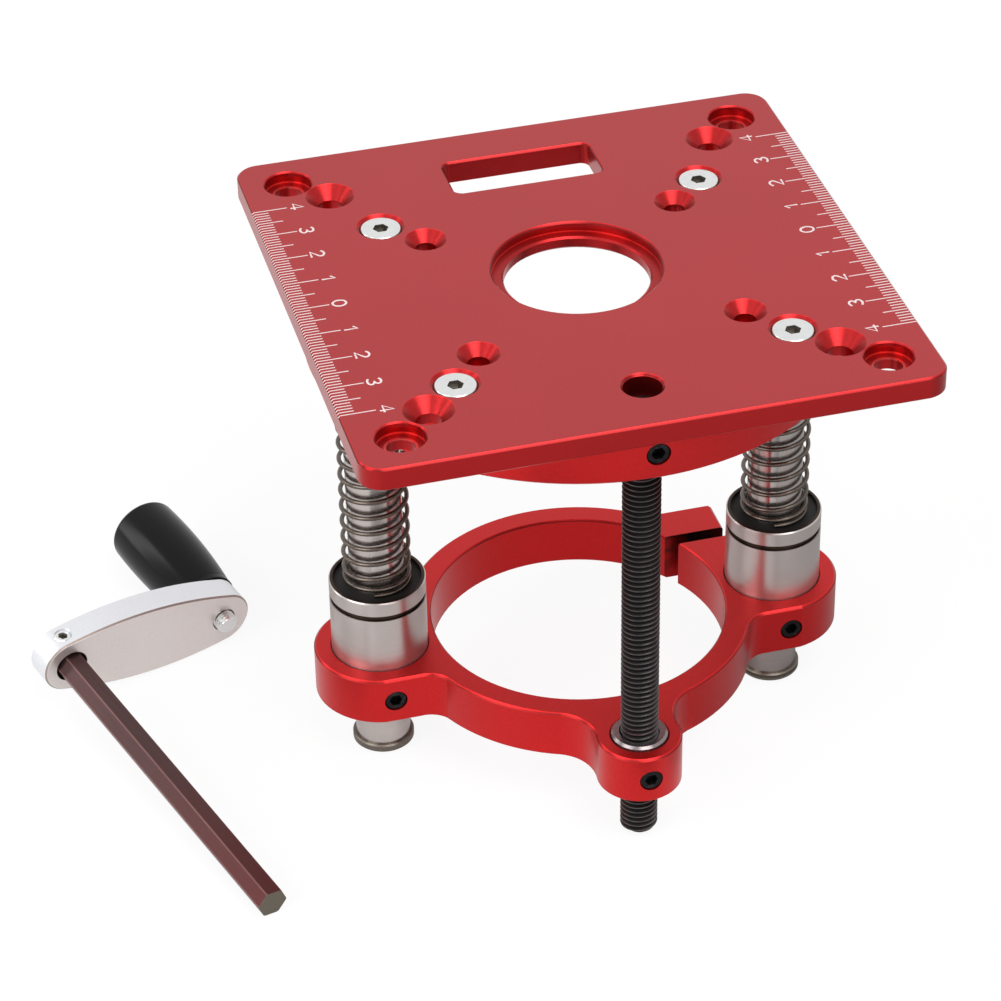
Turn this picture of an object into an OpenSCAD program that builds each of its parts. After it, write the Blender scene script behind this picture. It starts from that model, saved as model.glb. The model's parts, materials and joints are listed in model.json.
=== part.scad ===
// Router lift: a square insert plate on two guide rods and a lead screw. The screw raises and
// lowers a split motor clamp, and a loose crank turns the screw through a hole in the plate.
// The origin is the centre of the plate's top face, with the rear slot towards +Y.

/* [Top plate] */
// Side of the square plate
plate_side = 120; // [118:1:130]
// Thickness of the plate
plate_t = 5; // [4.5:0.5:8]
// Corner radius of the plate
plate_corner_r = 5; // [3:0.5:8]
// Chamfer round the plate's upper edge
plate_edge = 0.4; // [0.2:0.1:1]
// Distance between the counterbored corner holes
corner_pitch = 100; // [98:1:104]
// Corner holes: through diameter
corner_hole_d = 5.8; // [4.5:0.1:6]
// Corner holes: diameter of the counterbore
corner_head_d = 10.1; // [9:0.1:11]
// Corner holes: depth of the counterbore
corner_head_depth = 2.5; // [2:0.5:4]
// Distance between the outer countersunk holes
outer_sink_pitch = 85; // [84:0.5:86]
// Outer countersunk holes: diameter at the mouth
outer_sink_d = 10.5; // [9:0.1:11]
// Outer countersunk holes: through diameter
outer_sink_hole_d = 5.2; // [4.2:0.1:5.2]
// Inner countersunk holes: distance of the front pair from the middle line
inner_sink_x = 28; // [26:0.5:29]
// Inner countersunk holes: distance of the rear pair from the middle line
inner_sink_rear_x = 27.3; // [26:0.1:28.5]
// Inner countersunk holes: place of the front pair
inner_sink_front = 26; // [24:0.5:27]
// Inner countersunk holes: place of the rear pair
inner_sink_rear = 19.4; // [17:0.1:20]
// Inner countersunk holes: diameter at the mouth
inner_sink_d = 8.9; // [8:0.1:9.2]
// Inner countersunk holes: through diameter
inner_sink_hole_d = 4.5; // [4:0.1:5]
// Diameter of the bit opening
bit_hole_d = 30.6; // [20:0.2:32]
// Diameter of the recess that takes insert rings
recess_d = 35.5; // [34:0.5:38]
// Depth of the recess
recess_depth = 2.2; // [1.5:0.1:3]
// Length of the rear slot
slot_l = 33; // [20:1:36]
// Width of the rear slot
slot_w = 13; // [8:1:14]
// Corner radius of the rear slot
slot_r = 2; // [1:0.5:3]
// Distance of the slot's middle from the plate's centre
slot_y = 42.2; // [40:0.1:44]
// Diameter of the hole that the crank's bar goes through
access_d = 8; // [7.5:0.1:9]

/* [Support flange] */
// Outer radius of the flange
flange_r = 57.3; // [56:0.1:57.4]
// Thickness of the flange
flange_t = 10; // [10:0.5:12]
// Radius of the motor space in the flange
flange_inner_r = 34; // [33:0.5:35]
// Width of the flange's open rear throat
throat_w = 56; // [50:1:58]
// Where the flange's horns end behind the centre
horn_y = 38; // [36:0.5:42]
// Plate screws: distance from the middle line
plate_screw_x = 35.1; // [35:0.1:35.5]
// Plate screws: place of the front pair
plate_screw_front = 34.9; // [34:0.1:35]
// Plate screws: place of the rear pair
plate_screw_rear = 27.2; // [26:0.1:28]
// Plate screws: thread diameter
plate_screw_d = 5; // [4:0.5:5]
// Plate screws: head diameter
plate_screw_head_d = 8.7; // [8:0.1:8.8]
// Plate screws: how far the head sits below the plate's top
plate_screw_sunk = 0.4; // [0.2:0.1:0.4]

/* [Guide rods] */
// Diameter of a rod
rod_d = 12; // [12:0.5:12]
// Distance of a rod from the middle line
rod_x = 45; // [44.5:0.5:45.5]
// Height of the plate's top over the feet
stand_h = 114; // [113:0.5:120]
// Outer diameter of a retaining ring
retainer_d = 13.5; // [13:0.1:15]
// Thickness of a retaining ring
retainer_t = 1.9; // [1:0.1:2]

/* [Springs] */
// Wire diameter
wire_d = 1; // [0.8:0.1:1.2]
// Outer diameter of a spring
spring_d = 15; // [14.6:0.1:15.4]
// Number of turns
spring_turns = 15.5; // [13:0.5:17]
// Pitch of the closed turn at each end
closed_pitch = 1.5; // [1.45:0.05:2]

/* [Lead screw] */
// Thread diameter
screw_d = 8; // [8:0.5:8]
// Distance of the screw in front of the plate's centre
screw_reach = 46.2; // [46:0.1:46.5]
// Diameter of the head
screw_head_d = 13; // [12:0.5:13]
// Height of the head
screw_head_h = 8; // [6:0.5:8]
// Size across flats of the socket and of the crank's bar
key_size = 6; // [5:0.5:6]
// Depth of the socket
socket_depth = 4; // [3:0.5:5]

/* [Motor clamp] */
// Diameter of the motor that the clamp takes
motor_d = 65; // [62:0.5:65]
// Wall of the clamp's ring
ring_wall = 5.6; // [5:0.1:6]
// Thickness of the clamp
clamp_t = 11.5; // [11.5:0.5:13]
// Depth of the clamp's top below the plate's top
clamp_depth = 88; // [80:0.5:90]
// Radius of the lobes round the bearings
lobe_r = 14.4; // [14.4:0.1:14.8]
// Distance of the flats on those lobes from their centres
lobe_flat = 14.2; // [13.6:0.1:14.2]
// Radius of the nose round the lead nut
nose_r = 9.1; // [8.6:0.1:9.3]
// Fillet between a bearing lobe and the ring
lobe_fillet = 5.5; // [4:0.5:6]
// Fillet between the nose and the ring
nose_fillet = 9.5; // [7:0.5:10]
// Chamfer along the clamp's edges
clamp_edge = 0.5; // [0.2:0.1:0.8]
// Where the clamp is split, behind the centre
split_y = 16; // [15.5:0.1:16.5]
// Width of the split
split_gap = 3.3; // [2:0.1:4]
// Thickness of the ear that the clamp screw pulls
ear_t = 9.4; // [8.5:0.1:10]
// How far the ear reaches from the middle line
ear_x = 39.9; // [39.5:0.1:41]

/* [Linear bearings] */
// Outer diameter
bearing_d = 21; // [21:0.5:21]
// Length
bearing_l = 30; // [28:1:32]
// Distance of the outer grooves from the ends
groove_inset = 3.4; // [2.5:0.1:4]
// Width of the outer grooves
groove_w = 1.3; // [1:0.1:1.6]
// Ball diameter
ball_d = 2; // [2:0.1:2]
// Ball rows round the rod
ball_rows = 4; // [4:1:5]
// Balls in a row
row_balls = 7; // [5:1:8]

/* [Lead nut] */
// Outer diameter
nut_d = 12; // [11:0.5:12]
// How far the nut stands above the clamp
nut_proud = 0.8; // [0.2:0.1:1]

/* [Set screws] */
// Thread diameter
set_screw_d = 5; // [4:0.5:5]
// Size across flats of the socket
set_screw_key = 2.5; // [2:0.5:2.5]

/* [Crank] */
// Distance from the bar to the grip
arm_l = 39.7; // [36:0.1:45]
// Radius of the arm's ends
arm_end_r = 6.6; // [6:0.1:7]
// Half width of the arm at its middle
arm_half_w = 9.2; // [8:0.1:10]
// Thickness of the arm
arm_t = 7; // [6.5:0.5:9]
// Length of the hexagon bar outside the arm
bar_l = 85; // [70:0.5:90]
// Length of the grip
grip_l = 30; // [28:1:40]
// Largest diameter of the grip
grip_d = 16.6; // [15:0.2:18]
// Where along the grip it is widest
grip_belly = 21; // [18:1:24]
// Diameter of the bolt that the grip turns on
grip_bolt_d = 5; // [4:0.5:5]
// Place of the bar's end of the arm, to the right of the plate's centre
crank_x = -109.2; // [-130:0.1:-105]
// Place of the bar's end of the arm, behind the plate's centre
crank_y = 28.3; // [0:0.1:60]
// Height of the bar's end of the arm over the feet
crank_h = 12.1; // [12.1:0.1:13]
// Turn of the lying crank on the bench
crank_turn = 19.2; // [0:0.1:30]
// Dip of the bar towards the bench
crank_dip = 6; // [5:0.1:6]
// Roll of the arm towards its grip
crank_roll = 7; // [5:0.1:7]

/* [Hidden] */
$fn = 96;
// Gap between pieces that are fixed together
snug = 0.01;
// Radial gap between pieces that turn or slide on each other
running = 0.05;
// Overlap of cutting bodies past the faces that they cut
past = 1;
// Broken edges, from the mouths of small holes to the points of rods and screws
fine_edge = 0.3;
mid_edge = 0.4;
plain_edge = 0.5;
point_edge = 0.6;
// Play of a clearance hole round a screw or its head
screw_play = 0.25;
// Cap screws of the clamp and of the grip: head and socket
cap_head_d = 8.5;
cap_head_h = 5;
cap_key = 4;
cap_socket = 2.5;
// Plate screws: upright rim of the head, socket, and how far they end above the flange's underside
plate_screw_rim = 0.4;
plate_screw_key = 3;
plate_screw_socket = 1.8;
plate_screw_short = 2;
// Springs: angle of the wire's lower end, rings to a turn and sides to a ring
spring_start = -100;
rings_per_turn = 8;
wire_sides = 6;
// Height of the rods' feet
foot_z = -stand_h;
flange_z = -plate_t - flange_t;
clamp_top = -clamp_depth;
clamp_z = clamp_top - clamp_t;
clamp_mid = clamp_top - clamp_t / 2;
ring_r = motor_d / 2 + ring_wall;
bearing_r = bearing_d / 2;
bearing_bore = bearing_r + running;
// The bearings stand out this far below the clamp
bearing_drop = 0.5;
bearing_z = clamp_z - bearing_drop;
bearing_top = bearing_z + bearing_l;
// Seals sit this far inside the bearing's ends
seal_inset = 0.8;
seal_t = 1.4;
bearing_rim = 0.9;
seal_r = bearing_r - bearing_rim;
cage_gap = 0.3;
cage_in = rod_d / 2 + cage_gap;
cage_out = rod_d / 2 + running + ball_d + running;
// Distance between the balls of a row, and turn of the first row
ball_pitch = 2.6;
row_turn = 45;
spring_top = flange_z;
spring_z = bearing_top - seal_inset;
wire_r = wire_d / 2;
coil_r = spring_d / 2 - wire_r;
// Depth of the grooves in the rods and the bearings
groove_depth = 0.5;
groove_r = rod_d / 2 - groove_depth;
// Retaining rings: height over the feet and gap at the back
retainer_rise = 0.2;
retainer_gap = 4;
retainer_z = foot_z + retainer_rise;
// Lead screw: gaps over its head and round its neck, and how far its point ends above the feet
head_gap = 0.2;
neck_gap = 0.1;
screw_short = 1.5;
head_top = -plate_t - head_gap;
pocket_r = screw_head_d / 2 + screw_play;
pocket_z = head_top - screw_head_h - neck_gap;
// Depth of the rim's set screws below the plate
rim_screw_drop = 4.2;
nut_bore = screw_d / 2 + running;
// Fillets bite this far into the faces that they join, so that no two faces only just touch
bite = 0.03;
lobe_fillet_y = lobe_flat + lobe_fillet - bite;
lobe_fillet_x = sqrt(pow(ring_r + lobe_fillet - bite, 2) - pow(lobe_fillet_y, 2));
nose_fillet_y = (pow(ring_r + nose_fillet - bite, 2) - pow(nose_r + nose_fillet - bite, 2)
                 + pow(screw_reach, 2)) / (2 * screw_reach);
nose_fillet_x = sqrt(pow(ring_r + nose_fillet - bite, 2) - pow(nose_fillet_y, 2));
// How far the lobes' webs reach over the middle line
web_root = 4;
// Clamp screw: distance from the middle line, thread diameter, and length under the head
clamp_screw_x = 33.8;
clamp_screw_d = 5;
clamp_screw_l = 12;
// Front and back of the ear
ear_y = split_y + split_gap;
ear_back = ear_y + ear_t;
// Front end and corner radius of the block that the ear is cut from
ear_root = 5;
ear_corner = 1;
// Crank: play round the bar, edge of its free end, how far it ends inside the arm, and its set screw
bar_play = 0.35;
bar_hole_r = key_size / sqrt(3) + bar_play;
bar_edge = 0.2;
bar_inset = 0.5;
crank_screw_x = -0.9;
crank_screw_d = 4;
crank_screw_key = 2;
grip_gap = 0.2;
grip_base = arm_t + grip_gap;
grip_end = grip_base + grip_l;
// Grip bolt: depth of its head in the grip, play round it, and how far its point stands out
bolt_sunk = 1.2;
bolt_play = 0.3;
bolt_pocket = cap_head_h + bolt_sunk;
bolt_proud = 2.3;
red = [0.72, 0.08, 0.10];
steel = [0.75, 0.75, 0.77];
black = [0.08, 0.08, 0.09];
wire_grey = [0.42, 0.39, 0.36];
alloy = [0.86, 0.86, 0.88];
bar_brown = [0.30, 0.19, 0.20];

// Places of a front pair and a rear pair of holes in the plate
function two_pairs(x, front, rear_x, rear) = [[-x, -front], [x, -front], [-rear_x, rear], [rear_x, rear]];
function square_of(pitch) = two_pairs(pitch / 2, pitch / 2, pitch / 2, pitch / 2);

plate_screw_places = two_pairs(plate_screw_x, plate_screw_front, plate_screw_x, plate_screw_rear);

// A polygon's half section: straight between z0 and z1, and drawn in or flared at either end
function edge_section(half, z0, z1, low, high) = [
    [0, z0], [half + low, z0], [half, z0 + abs(low)], [half, z1 - abs(high)], [half + high, z1], [0, z1]];

// Disc or drum whose edges are chamfered (negative edge) or flared (positive edge)
module drum(r, z0, z1, low = 0, high = 0)
    rotate_extrude() polygon(edge_section(r, z0, z1, low, high));

// Bar of that section, mirrored about its middle plane, of a given length along X
module edged_bar(half, length, z0, z1, low, high)
    for (side = [0, 1]) mirror([0, side, 0])
        rotate([90, 0, 90]) linear_extrude(length, center = true)
            polygon(edge_section(half, z0, z1, low, high));

// Block with round upright corners and chamfered or flared edges
module rounded_block(length, width, r, z0, z1, low = 0, high = 0) {
    edged_bar(width / 2, length - 2 * r, z0, z1, low, high);
    rotate(90) edged_bar(length / 2, width - 2 * r, z0, z1, low, high);
    for (x = [-1, 1], y = [-1, 1])
        translate([x * (length / 2 - r), y * (width / 2 - r), 0]) drum(r, z0, z1, low, high);
}

// Hole with a cone-shaped mouth at z = 0, going down past the plate
module sunk_hole(mouth_d, hole_d) {
    cone_h = (mouth_d - hole_d) / 2;
    translate([0, 0, -plate_t - past]) cylinder(d = hole_d, h = plate_t + 2 * past);
    translate([0, 0, -cone_h]) cylinder(d1 = hole_d, d2 = mouth_d, h = cone_h);
}

// Counterbored hole from z = 0, with a broken edge at its mouth
module bored_hole(mouth_d, depth, hole_d, edge) {
    translate([0, 0, -plate_t - past]) cylinder(d = hole_d, h = plate_t + 2 * past);
    drum(mouth_d / 2, -depth, 0, 0, edge);
}

// Socket for a hexagon key, cut down from z = 0
module hex_socket(size, depth)
    translate([0, 0, -depth]) cylinder(d = size * 2 / sqrt(3), h = depth + past, $fn = 6);

// Headless screw along Z with its socket at z = 0 and a flat chamfered point
module set_screw(length, d = set_screw_d, key = set_screw_key)
    difference() {
        drum(d / 2, -length, 0, -plain_edge, -fine_edge);
        hex_socket(key, length / 2);
    }

// Cap screw along Z: the head stands on z = 0 and the shank goes down
module cap_screw(d, length, head_d, head_h, key, depth)
    difference() {
        union() {
            drum(head_d / 2, 0, head_h, 0, -point_edge);
            drum(d / 2, -length, past / 2, -point_edge, 0);
        }
        translate([0, 0, head_h]) hex_socket(key, depth);
    }

module top_plate()
    color(red) difference() {
        rounded_block(plate_side, plate_side, plate_corner_r, -plate_t, 0, -fine_edge, -plate_edge);
        for (p = square_of(corner_pitch))
            translate(p) bored_hole(corner_head_d, corner_head_depth, corner_hole_d, fine_edge);
        for (p = square_of(outer_sink_pitch))
            translate(p) sunk_hole(outer_sink_d, outer_sink_hole_d);
        for (p = two_pairs(inner_sink_x, inner_sink_front, inner_sink_rear_x, inner_sink_rear))
            translate(p) sunk_hole(inner_sink_d, inner_sink_hole_d);
        for (p = plate_screw_places)
            translate(p) sunk_hole(plate_screw_head_d + 2 * (plate_screw_sunk + plate_screw_rim),
                                   plate_screw_d + 2 * screw_play);
        bored_hole(recess_d, recess_depth, bit_hole_d, mid_edge);
        drum(bit_hole_d / 2, -plate_t, -recess_depth, plain_edge, mid_edge);
        translate([0, slot_y, 0])
            rounded_block(slot_l, slot_w, slot_r, -plate_t - past, 0, 0, mid_edge);
        translate([0, -screw_reach, 0]) bored_hole(access_d, plate_t + past, access_d, plain_edge);
    }

module support_flange()
    color(red) difference() {
        drum(flange_r, flange_z, -plate_t, -plain_edge);
        translate([0, 0, flange_z - past]) {
            cylinder(r = flange_inner_r, h = flange_t + 2 * past);
            translate([-throat_w / 2, 0, 0]) cube([throat_w, flange_r + past, flange_t + 2 * past]);
            translate([-flange_r, horn_y, 0]) cube([2 * flange_r, flange_r, flange_t + 2 * past]);
            for (x = [-rod_x, rod_x])
                translate([x, 0, 0]) cylinder(d = rod_d + 2 * snug, h = flange_t + 2 * past);
            for (p = plate_screw_places)
                translate(p) cylinder(d = plate_screw_d + 2 * snug, h = flange_t + 2 * past);
            translate([0, -screw_reach, 0]) cylinder(d = screw_d + 2 * neck_gap, h = flange_t + 2 * past);
        }
        translate([0, -screw_reach, pocket_z]) cylinder(r = pocket_r, h = flange_t);
        for (turn = [0, 90, -90]) on_rim(turn) translate([0, 0, -flange_r / 4])
            cylinder(d = set_screw_d + 2 * snug, h = flange_r / 4 + past);
    }

// Radial place on the flange's rim: 0 is the front, and 90 and -90 are the sides
module on_rim(turn)
    rotate(turn) translate([0, -flange_r, -plate_t - rim_screw_drop]) rotate([90, 0, 0]) children();

// The front screw stops just short of the lead screw's head, and the side ones hold the rods
module flange_set_screws() {
    sunk = 0.3;
    tips = [[0, screw_reach + pocket_r], [90, rod_x + rod_d / 2 + snug],
            [-90, rod_x + rod_d / 2 + snug]];
    color(black) for (tip = tips)
        on_rim(tip[0]) translate([0, 0, -sunk]) set_screw(flange_r - sunk - tip[1]);
}

module plate_screws()
    color(steel) for (p = plate_screw_places) translate([p.x, p.y, -plate_screw_sunk]) difference() {
        union() {
            cone_h = (plate_screw_head_d - plate_screw_d) / 2;
            cone_z = -plate_screw_rim - cone_h;
            drum(plate_screw_head_d / 2 - snug, -plate_screw_rim, 0, 0, -plate_screw_rim / 2);
            translate([0, 0, cone_z])
                cylinder(d1 = plate_screw_d, d2 = plate_screw_head_d - 2 * snug, h = cone_h);
            drum(plate_screw_d / 2, flange_z + plate_screw_short, cone_z + snug, -point_edge);
        }
        hex_socket(plate_screw_key, plate_screw_socket);
    }

module guide_rod(x)
    color(steel) translate([x, 0, 0]) difference() {
        drum(rod_d / 2, foot_z, -plate_t - snug, -plain_edge, -mid_edge);
        translate([0, 0, retainer_z - snug]) difference() {
            cylinder(r = rod_d, h = retainer_t + 2 * snug);
            translate([0, 0, -past]) cylinder(r = groove_r, h = retainer_t + 2 * past);
        }
    }

module guide_rod_left() guide_rod(-rod_x);
module guide_rod_right() guide_rod(rod_x);

module retaining_ring(x)
    color(wire_grey) translate([x, 0, retainer_z]) difference() {
        drum(retainer_d / 2, 0, retainer_t, -fine_edge, -fine_edge);
        translate([0, 0, -past]) cylinder(r = groove_r + snug, h = retainer_t + 2 * past);
        translate([-retainer_gap / 2, 0, -past])
            cube([retainer_gap, retainer_d, retainer_t + 2 * past]);
    }

module retaining_ring_left() retaining_ring(-rod_x);
module retaining_ring_right() retaining_ring(rod_x);

// Spring: closed for one turn at each end, opening over the next turn, even between
spring_h = spring_top - spring_z - wire_d;
open_pitch = (spring_h - 3 * closed_pitch) / (spring_turns - 3);
function half_rise(u) =
    u < 1 ? closed_pitch * u
    : u < 2 ? closed_pitch * u + (open_pitch - closed_pitch) * pow(u - 1, 2) / 2
    : 2 * closed_pitch + (open_pitch - closed_pitch) / 2 + open_pitch * (u - 2);
function rise(u) =
    u < spring_turns / 2 ? half_rise(u) : spring_h - half_rise(spring_turns - u);
function outward(u) = [cos(spring_start + 360 * u), sin(spring_start + 360 * u), 0];
function coil_point(u) = coil_r * outward(u) + [0, 0, spring_z + wire_r + rise(u)];
function unit(v) = v / norm(v);
// Part of a turn over which the wire's direction is taken
stride = 0.01;
function coil_direction(u) = unit(coil_point(u + stride) - coil_point(u - stride));
coil_steps = spring_turns * rings_per_turn;
// The wire's line: a straight end of one wire diameter, the turns, and another straight end
wire_line = concat(
    [[coil_point(0) - wire_d * coil_direction(0), coil_direction(0), 0]],
    [for (i = [0:coil_steps]) let (u = i / rings_per_turn) [coil_point(u), coil_direction(u), u]],
    [[coil_point(spring_turns) + wire_d * coil_direction(spring_turns),
      coil_direction(spring_turns), spring_turns]]);
function wire_ring(step) =
    let (away = outward(step[2]), across = cross(step[1], away))
        [for (k = [0:wire_sides - 1]) let (a = 360 * k / wire_sides)
            step[0] + wire_r * (cos(a) * away + sin(a) * across)];
// Least gap between points of the wire that lie half a turn or more apart
spring_gap = min([for (i = [0:len(wire_line) - 1], j = [i + rings_per_turn / 2:i + 2 * rings_per_turn])
    if (j < len(wire_line)) norm(wire_line[i][0] - wire_line[j][0]) - wire_d]);
echo(str("Least gap of a spring to itself, in mm: ", spring_gap));

module spring(x) {
    rings = [for (step = wire_line) wire_ring(step)];
    count = len(rings);
    sides = [for (i = [0:count - 2], k = [0:wire_sides - 1])
        let (a = i * wire_sides + k, b = i * wire_sides + (k + 1) % wire_sides)
            each [[a, b + wire_sides, b], [a, a + wire_sides, b + wire_sides]]];
    ends = [for (k = [1:wire_sides - 2]) each
        [[0, k, k + 1], [for (n = [0, k + 1, k]) (count - 1) * wire_sides + n]]];
    color(wire_grey) translate([x, 0, 0])
        polyhedron([for (ring = rings) each ring], concat(sides, ends));
}

module spring_left() spring(-rod_x);
module spring_right() spring(rod_x);

module lead_screw()
    color(black) translate([0, -screw_reach, head_top - screw_head_h])
        cap_screw(screw_d, head_top - screw_head_h - foot_z - screw_short, screw_head_d, screw_head_h,
                  key_size, socket_depth);

// Web with a concave fillet: a full-height prism less a flared round hole at the fillet's centre
module fillet_web(outline, centre, r)
    difference() {
        translate([0, 0, clamp_z]) linear_extrude(clamp_t) polygon(outline);
        translate(centre) fillet_cutter(r);
    }

module fillet_cutter(r) {
    drum(r, clamp_z, clamp_top, clamp_edge, clamp_edge);
    translate([0, 0, clamp_z - past]) cylinder(r = r, h = clamp_t + 2 * past);
}

// Web from the ring to the front flat of the right bearing's lobe
module lobe_web()
    fillet_web([[motor_d / 6, web_root], [0, 0], [lobe_fillet_x, -lobe_fillet_y],
                [lobe_fillet_x, -lobe_flat], [rod_x, -lobe_flat], [rod_x, web_root]],
               [lobe_fillet_x, -lobe_fillet_y], lobe_fillet);

// Cut that makes the flat on that lobe's front side, with chamfered edges
module lobe_flat_cut()
    translate([lobe_fillet_x, -lobe_flat, 0]) rotate([90, 0, 90]) linear_extrude(2 * lobe_r)
        for (end = [clamp_z, clamp_top])
            polygon([[0, clamp_mid], [-lobe_fillet, clamp_mid], [-lobe_fillet, end], [clamp_edge, end],
                     [0, end + (clamp_mid > end ? clamp_edge : -clamp_edge)]]);

// Lobe round the right bearing, with a flat on the listed sides: 0 is the front and 1 the back
module bearing_lobe(sides)
    difference() {
        union() {
            translate([rod_x, 0, 0]) drum(lobe_r, clamp_z, clamp_top, -clamp_edge, -clamp_edge);
            for (side = sides) mirror([0, side, 0]) lobe_web();
        }
        for (side = sides) mirror([0, side, 0]) lobe_flat_cut();
    }

// Nose round the lead nut, with a fillet on each side
module nose() {
    translate([0, -screw_reach, 0]) drum(nose_r, clamp_z, clamp_top, -clamp_edge, -clamp_edge);
    for (side = [-1, 1])
        fillet_web([[0, 0], [side * nose_fillet_x, -nose_fillet_y], [0, -screw_reach]],
                   [side * nose_fillet_x, -nose_fillet_y], nose_fillet);
}

module clamp_outline() {
    drum(ring_r, clamp_z, clamp_top, -clamp_edge, -clamp_edge);
    nose();
    bearing_lobe([0]);
    mirror([1, 0, 0]) bearing_lobe([0, 1]);
    // Block behind the right lobe that the split divides into a pad and an ear
    translate([(ear_x + motor_d / 4) / 2, (ear_back + ear_root) / 2, 0])
        rounded_block(ear_x - motor_d / 4, ear_back - ear_root, ear_corner, clamp_z, clamp_top,
                      -clamp_edge, -clamp_edge);
}

module motor_clamp()
    color(red) difference() {
        clamp_outline();
        drum(motor_d / 2, clamp_z, clamp_top, mid_edge, mid_edge);
        for (x = [-rod_x, rod_x])
            translate([x, 0, 0]) drum(bearing_bore, clamp_z, clamp_top, fine_edge, fine_edge);
        translate([0, -screw_reach, 0])
            drum(nut_d / 2 + snug, clamp_z, clamp_top, fine_edge, mid_edge);
        translate([motor_d / 4 - past, split_y, clamp_z - past])
            cube([ear_x, split_gap, clamp_t + 2 * past]);
        translate([clamp_screw_x, ear_back + past, clamp_mid]) rotate([90, 0, 0]) {
            cylinder(d = cap_head_d + 2 * screw_play, h = cap_head_h + past);
            cylinder(d = clamp_screw_d + 2 * screw_play, h = ear_t + 2 * past);
            cylinder(d = clamp_screw_d + 2 * snug, h = clamp_screw_l + cap_head_h + past + snug);
        }
        for (x = [-rod_x, rod_x])
            translate([x, 0, clamp_mid]) rotate([90, 0, 0])
                cylinder(d = set_screw_d + 2 * snug, h = lobe_r + past);
        translate([0, -screw_reach, clamp_mid]) rotate([90, 0, 0])
            cylinder(d = set_screw_d + 2 * snug, h = nose_r + past);
    }

// Two screws hold the bearings and one holds the nut, each from the front
module clamp_set_screws() {
    sunk = 0.3;
    color(black) {
        for (x = [-rod_x, rod_x])
            translate([x, sunk - lobe_flat, clamp_mid]) rotate([90, 0, 0])
                set_screw(lobe_flat - bearing_r - sunk - snug);
        translate([0, sunk - screw_reach - nose_r, clamp_mid]) rotate([90, 0, 0])
            set_screw(nose_r - nut_d / 2 - sunk - snug);
    }
}

module clamp_screw()
    color(black) translate([clamp_screw_x, ear_back - cap_head_h, clamp_mid]) rotate([-90, 0, 0])
        cap_screw(clamp_screw_d, clamp_screw_l, cap_head_d, cap_head_h, cap_key, cap_socket);

module lead_nut()
    color(steel) translate([0, -screw_reach, 0]) difference() {
        drum(nut_d / 2, clamp_z, clamp_top + nut_proud, -fine_edge, -plain_edge);
        drum(nut_bore, clamp_z, clamp_top + nut_proud, point_edge, fine_edge);
    }

module bearing_shell(x)
    color(steel) translate([x, 0, 0]) difference() {
        drum(bearing_r, bearing_z, bearing_top, -fine_edge, -fine_edge);
        translate([0, 0, bearing_z - past]) cylinder(r = cage_out + snug, h = bearing_l + 2 * past);
        for (z = [bearing_z - past, bearing_top - seal_inset - seal_t])
            translate([0, 0, z]) cylinder(r = seal_r + snug, h = seal_inset + seal_t + past);
        for (z = [bearing_z + groove_inset, bearing_top - groove_inset - groove_w])
            translate([0, 0, z]) difference() {
                cylinder(r = bearing_r + past, h = groove_w);
                translate([0, 0, -past]) cylinder(r = bearing_r - groove_depth, h = groove_w + 2 * past);
            }
    }

module bearing_shell_left() bearing_shell(-rod_x);
module bearing_shell_right() bearing_shell(rod_x);

cage_z = bearing_z + seal_inset + seal_t;
cage_h = bearing_l - 2 * seal_inset - 2 * seal_t;
ball_centre = rod_d / 2 + running + ball_d / 2;
row_l = (row_balls - 1) * ball_pitch + ball_d;

module bearing_cage(x)
    color(black) translate([x, 0, cage_z + snug]) difference() {
        cylinder(r = cage_out, h = cage_h - 2 * snug);
        translate([0, 0, -past]) cylinder(r = cage_in, h = cage_h + 2 * past);
        for (row = [1:ball_rows])
            rotate(360 * row / ball_rows + row_turn)
                translate([0, -ball_d / 2 - running, (cage_h - row_l) / 2 - running])
                    cube([2 * cage_out, ball_d + 2 * running, row_l + 2 * running]);
    }

module bearing_cage_left() bearing_cage(-rod_x);
module bearing_cage_right() bearing_cage(rod_x);

module bearing_balls(x)
    color(steel) for (row = [1:ball_rows], i = [0:row_balls - 1])
        translate([x, 0, cage_z + (cage_h - row_l) / 2 + ball_d / 2 + i * ball_pitch])
            rotate(360 * row / ball_rows + row_turn) translate([ball_centre, 0, 0])
                sphere(d = ball_d, $fn = 32);

module bearing_balls_left() bearing_balls(-rod_x);
module bearing_balls_right() bearing_balls(rod_x);

module bearing_seals(x)
    color(black) for (z = [bearing_z + seal_inset, bearing_top - seal_inset - seal_t])
        translate([x, 0, z]) difference() {
            cylinder(r = seal_r, h = seal_t);
            translate([0, 0, -past]) cylinder(r = rod_d / 2 + running, h = seal_t + 2 * past);
        }

module bearing_seals_left() bearing_seals(-rod_x);
module bearing_seals_right() bearing_seals(rod_x);

// The crank is drawn with its arm level, the bar down and the grip up, and then laid on the bench
module lying_crank()
    translate([crank_x, crank_y, foot_z + crank_h]) rotate(crank_turn) rotate([crank_dip, 0, 0])
        rotate([0, crank_roll, 0]) rotate([-90, 0, 0]) children();

// Boat-shaped arm: two wide arcs that run into round ends
module arm_outline(edge) {
    swell = arm_half_w - arm_end_r;
    side_y = (pow(arm_l / 2, 2) - pow(swell, 2)) / (2 * swell);
    side_r = arm_half_w + side_y - bite;
    lean = unit([arm_l / 2, side_y]);
    reach = 2 * arm_half_w;
    intersection() {
        translate([arm_l / 2, -side_y, 0]) drum(side_r, 0, arm_t, -edge, -edge);
        translate([arm_l / 2, side_y, 0]) drum(side_r, 0, arm_t, -edge, -edge);
        linear_extrude(arm_t) polygon([
            [0, 0], reach * [-lean.x, lean.y], [arm_l, 0] + reach * lean, [arm_l, 0],
            [arm_l, 0] + reach * [lean.x, -lean.y], -reach * lean]);
    }
    for (x = [0, arm_l]) translate([x, 0, 0]) drum(arm_end_r, 0, arm_t, -edge, -edge);
}

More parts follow.
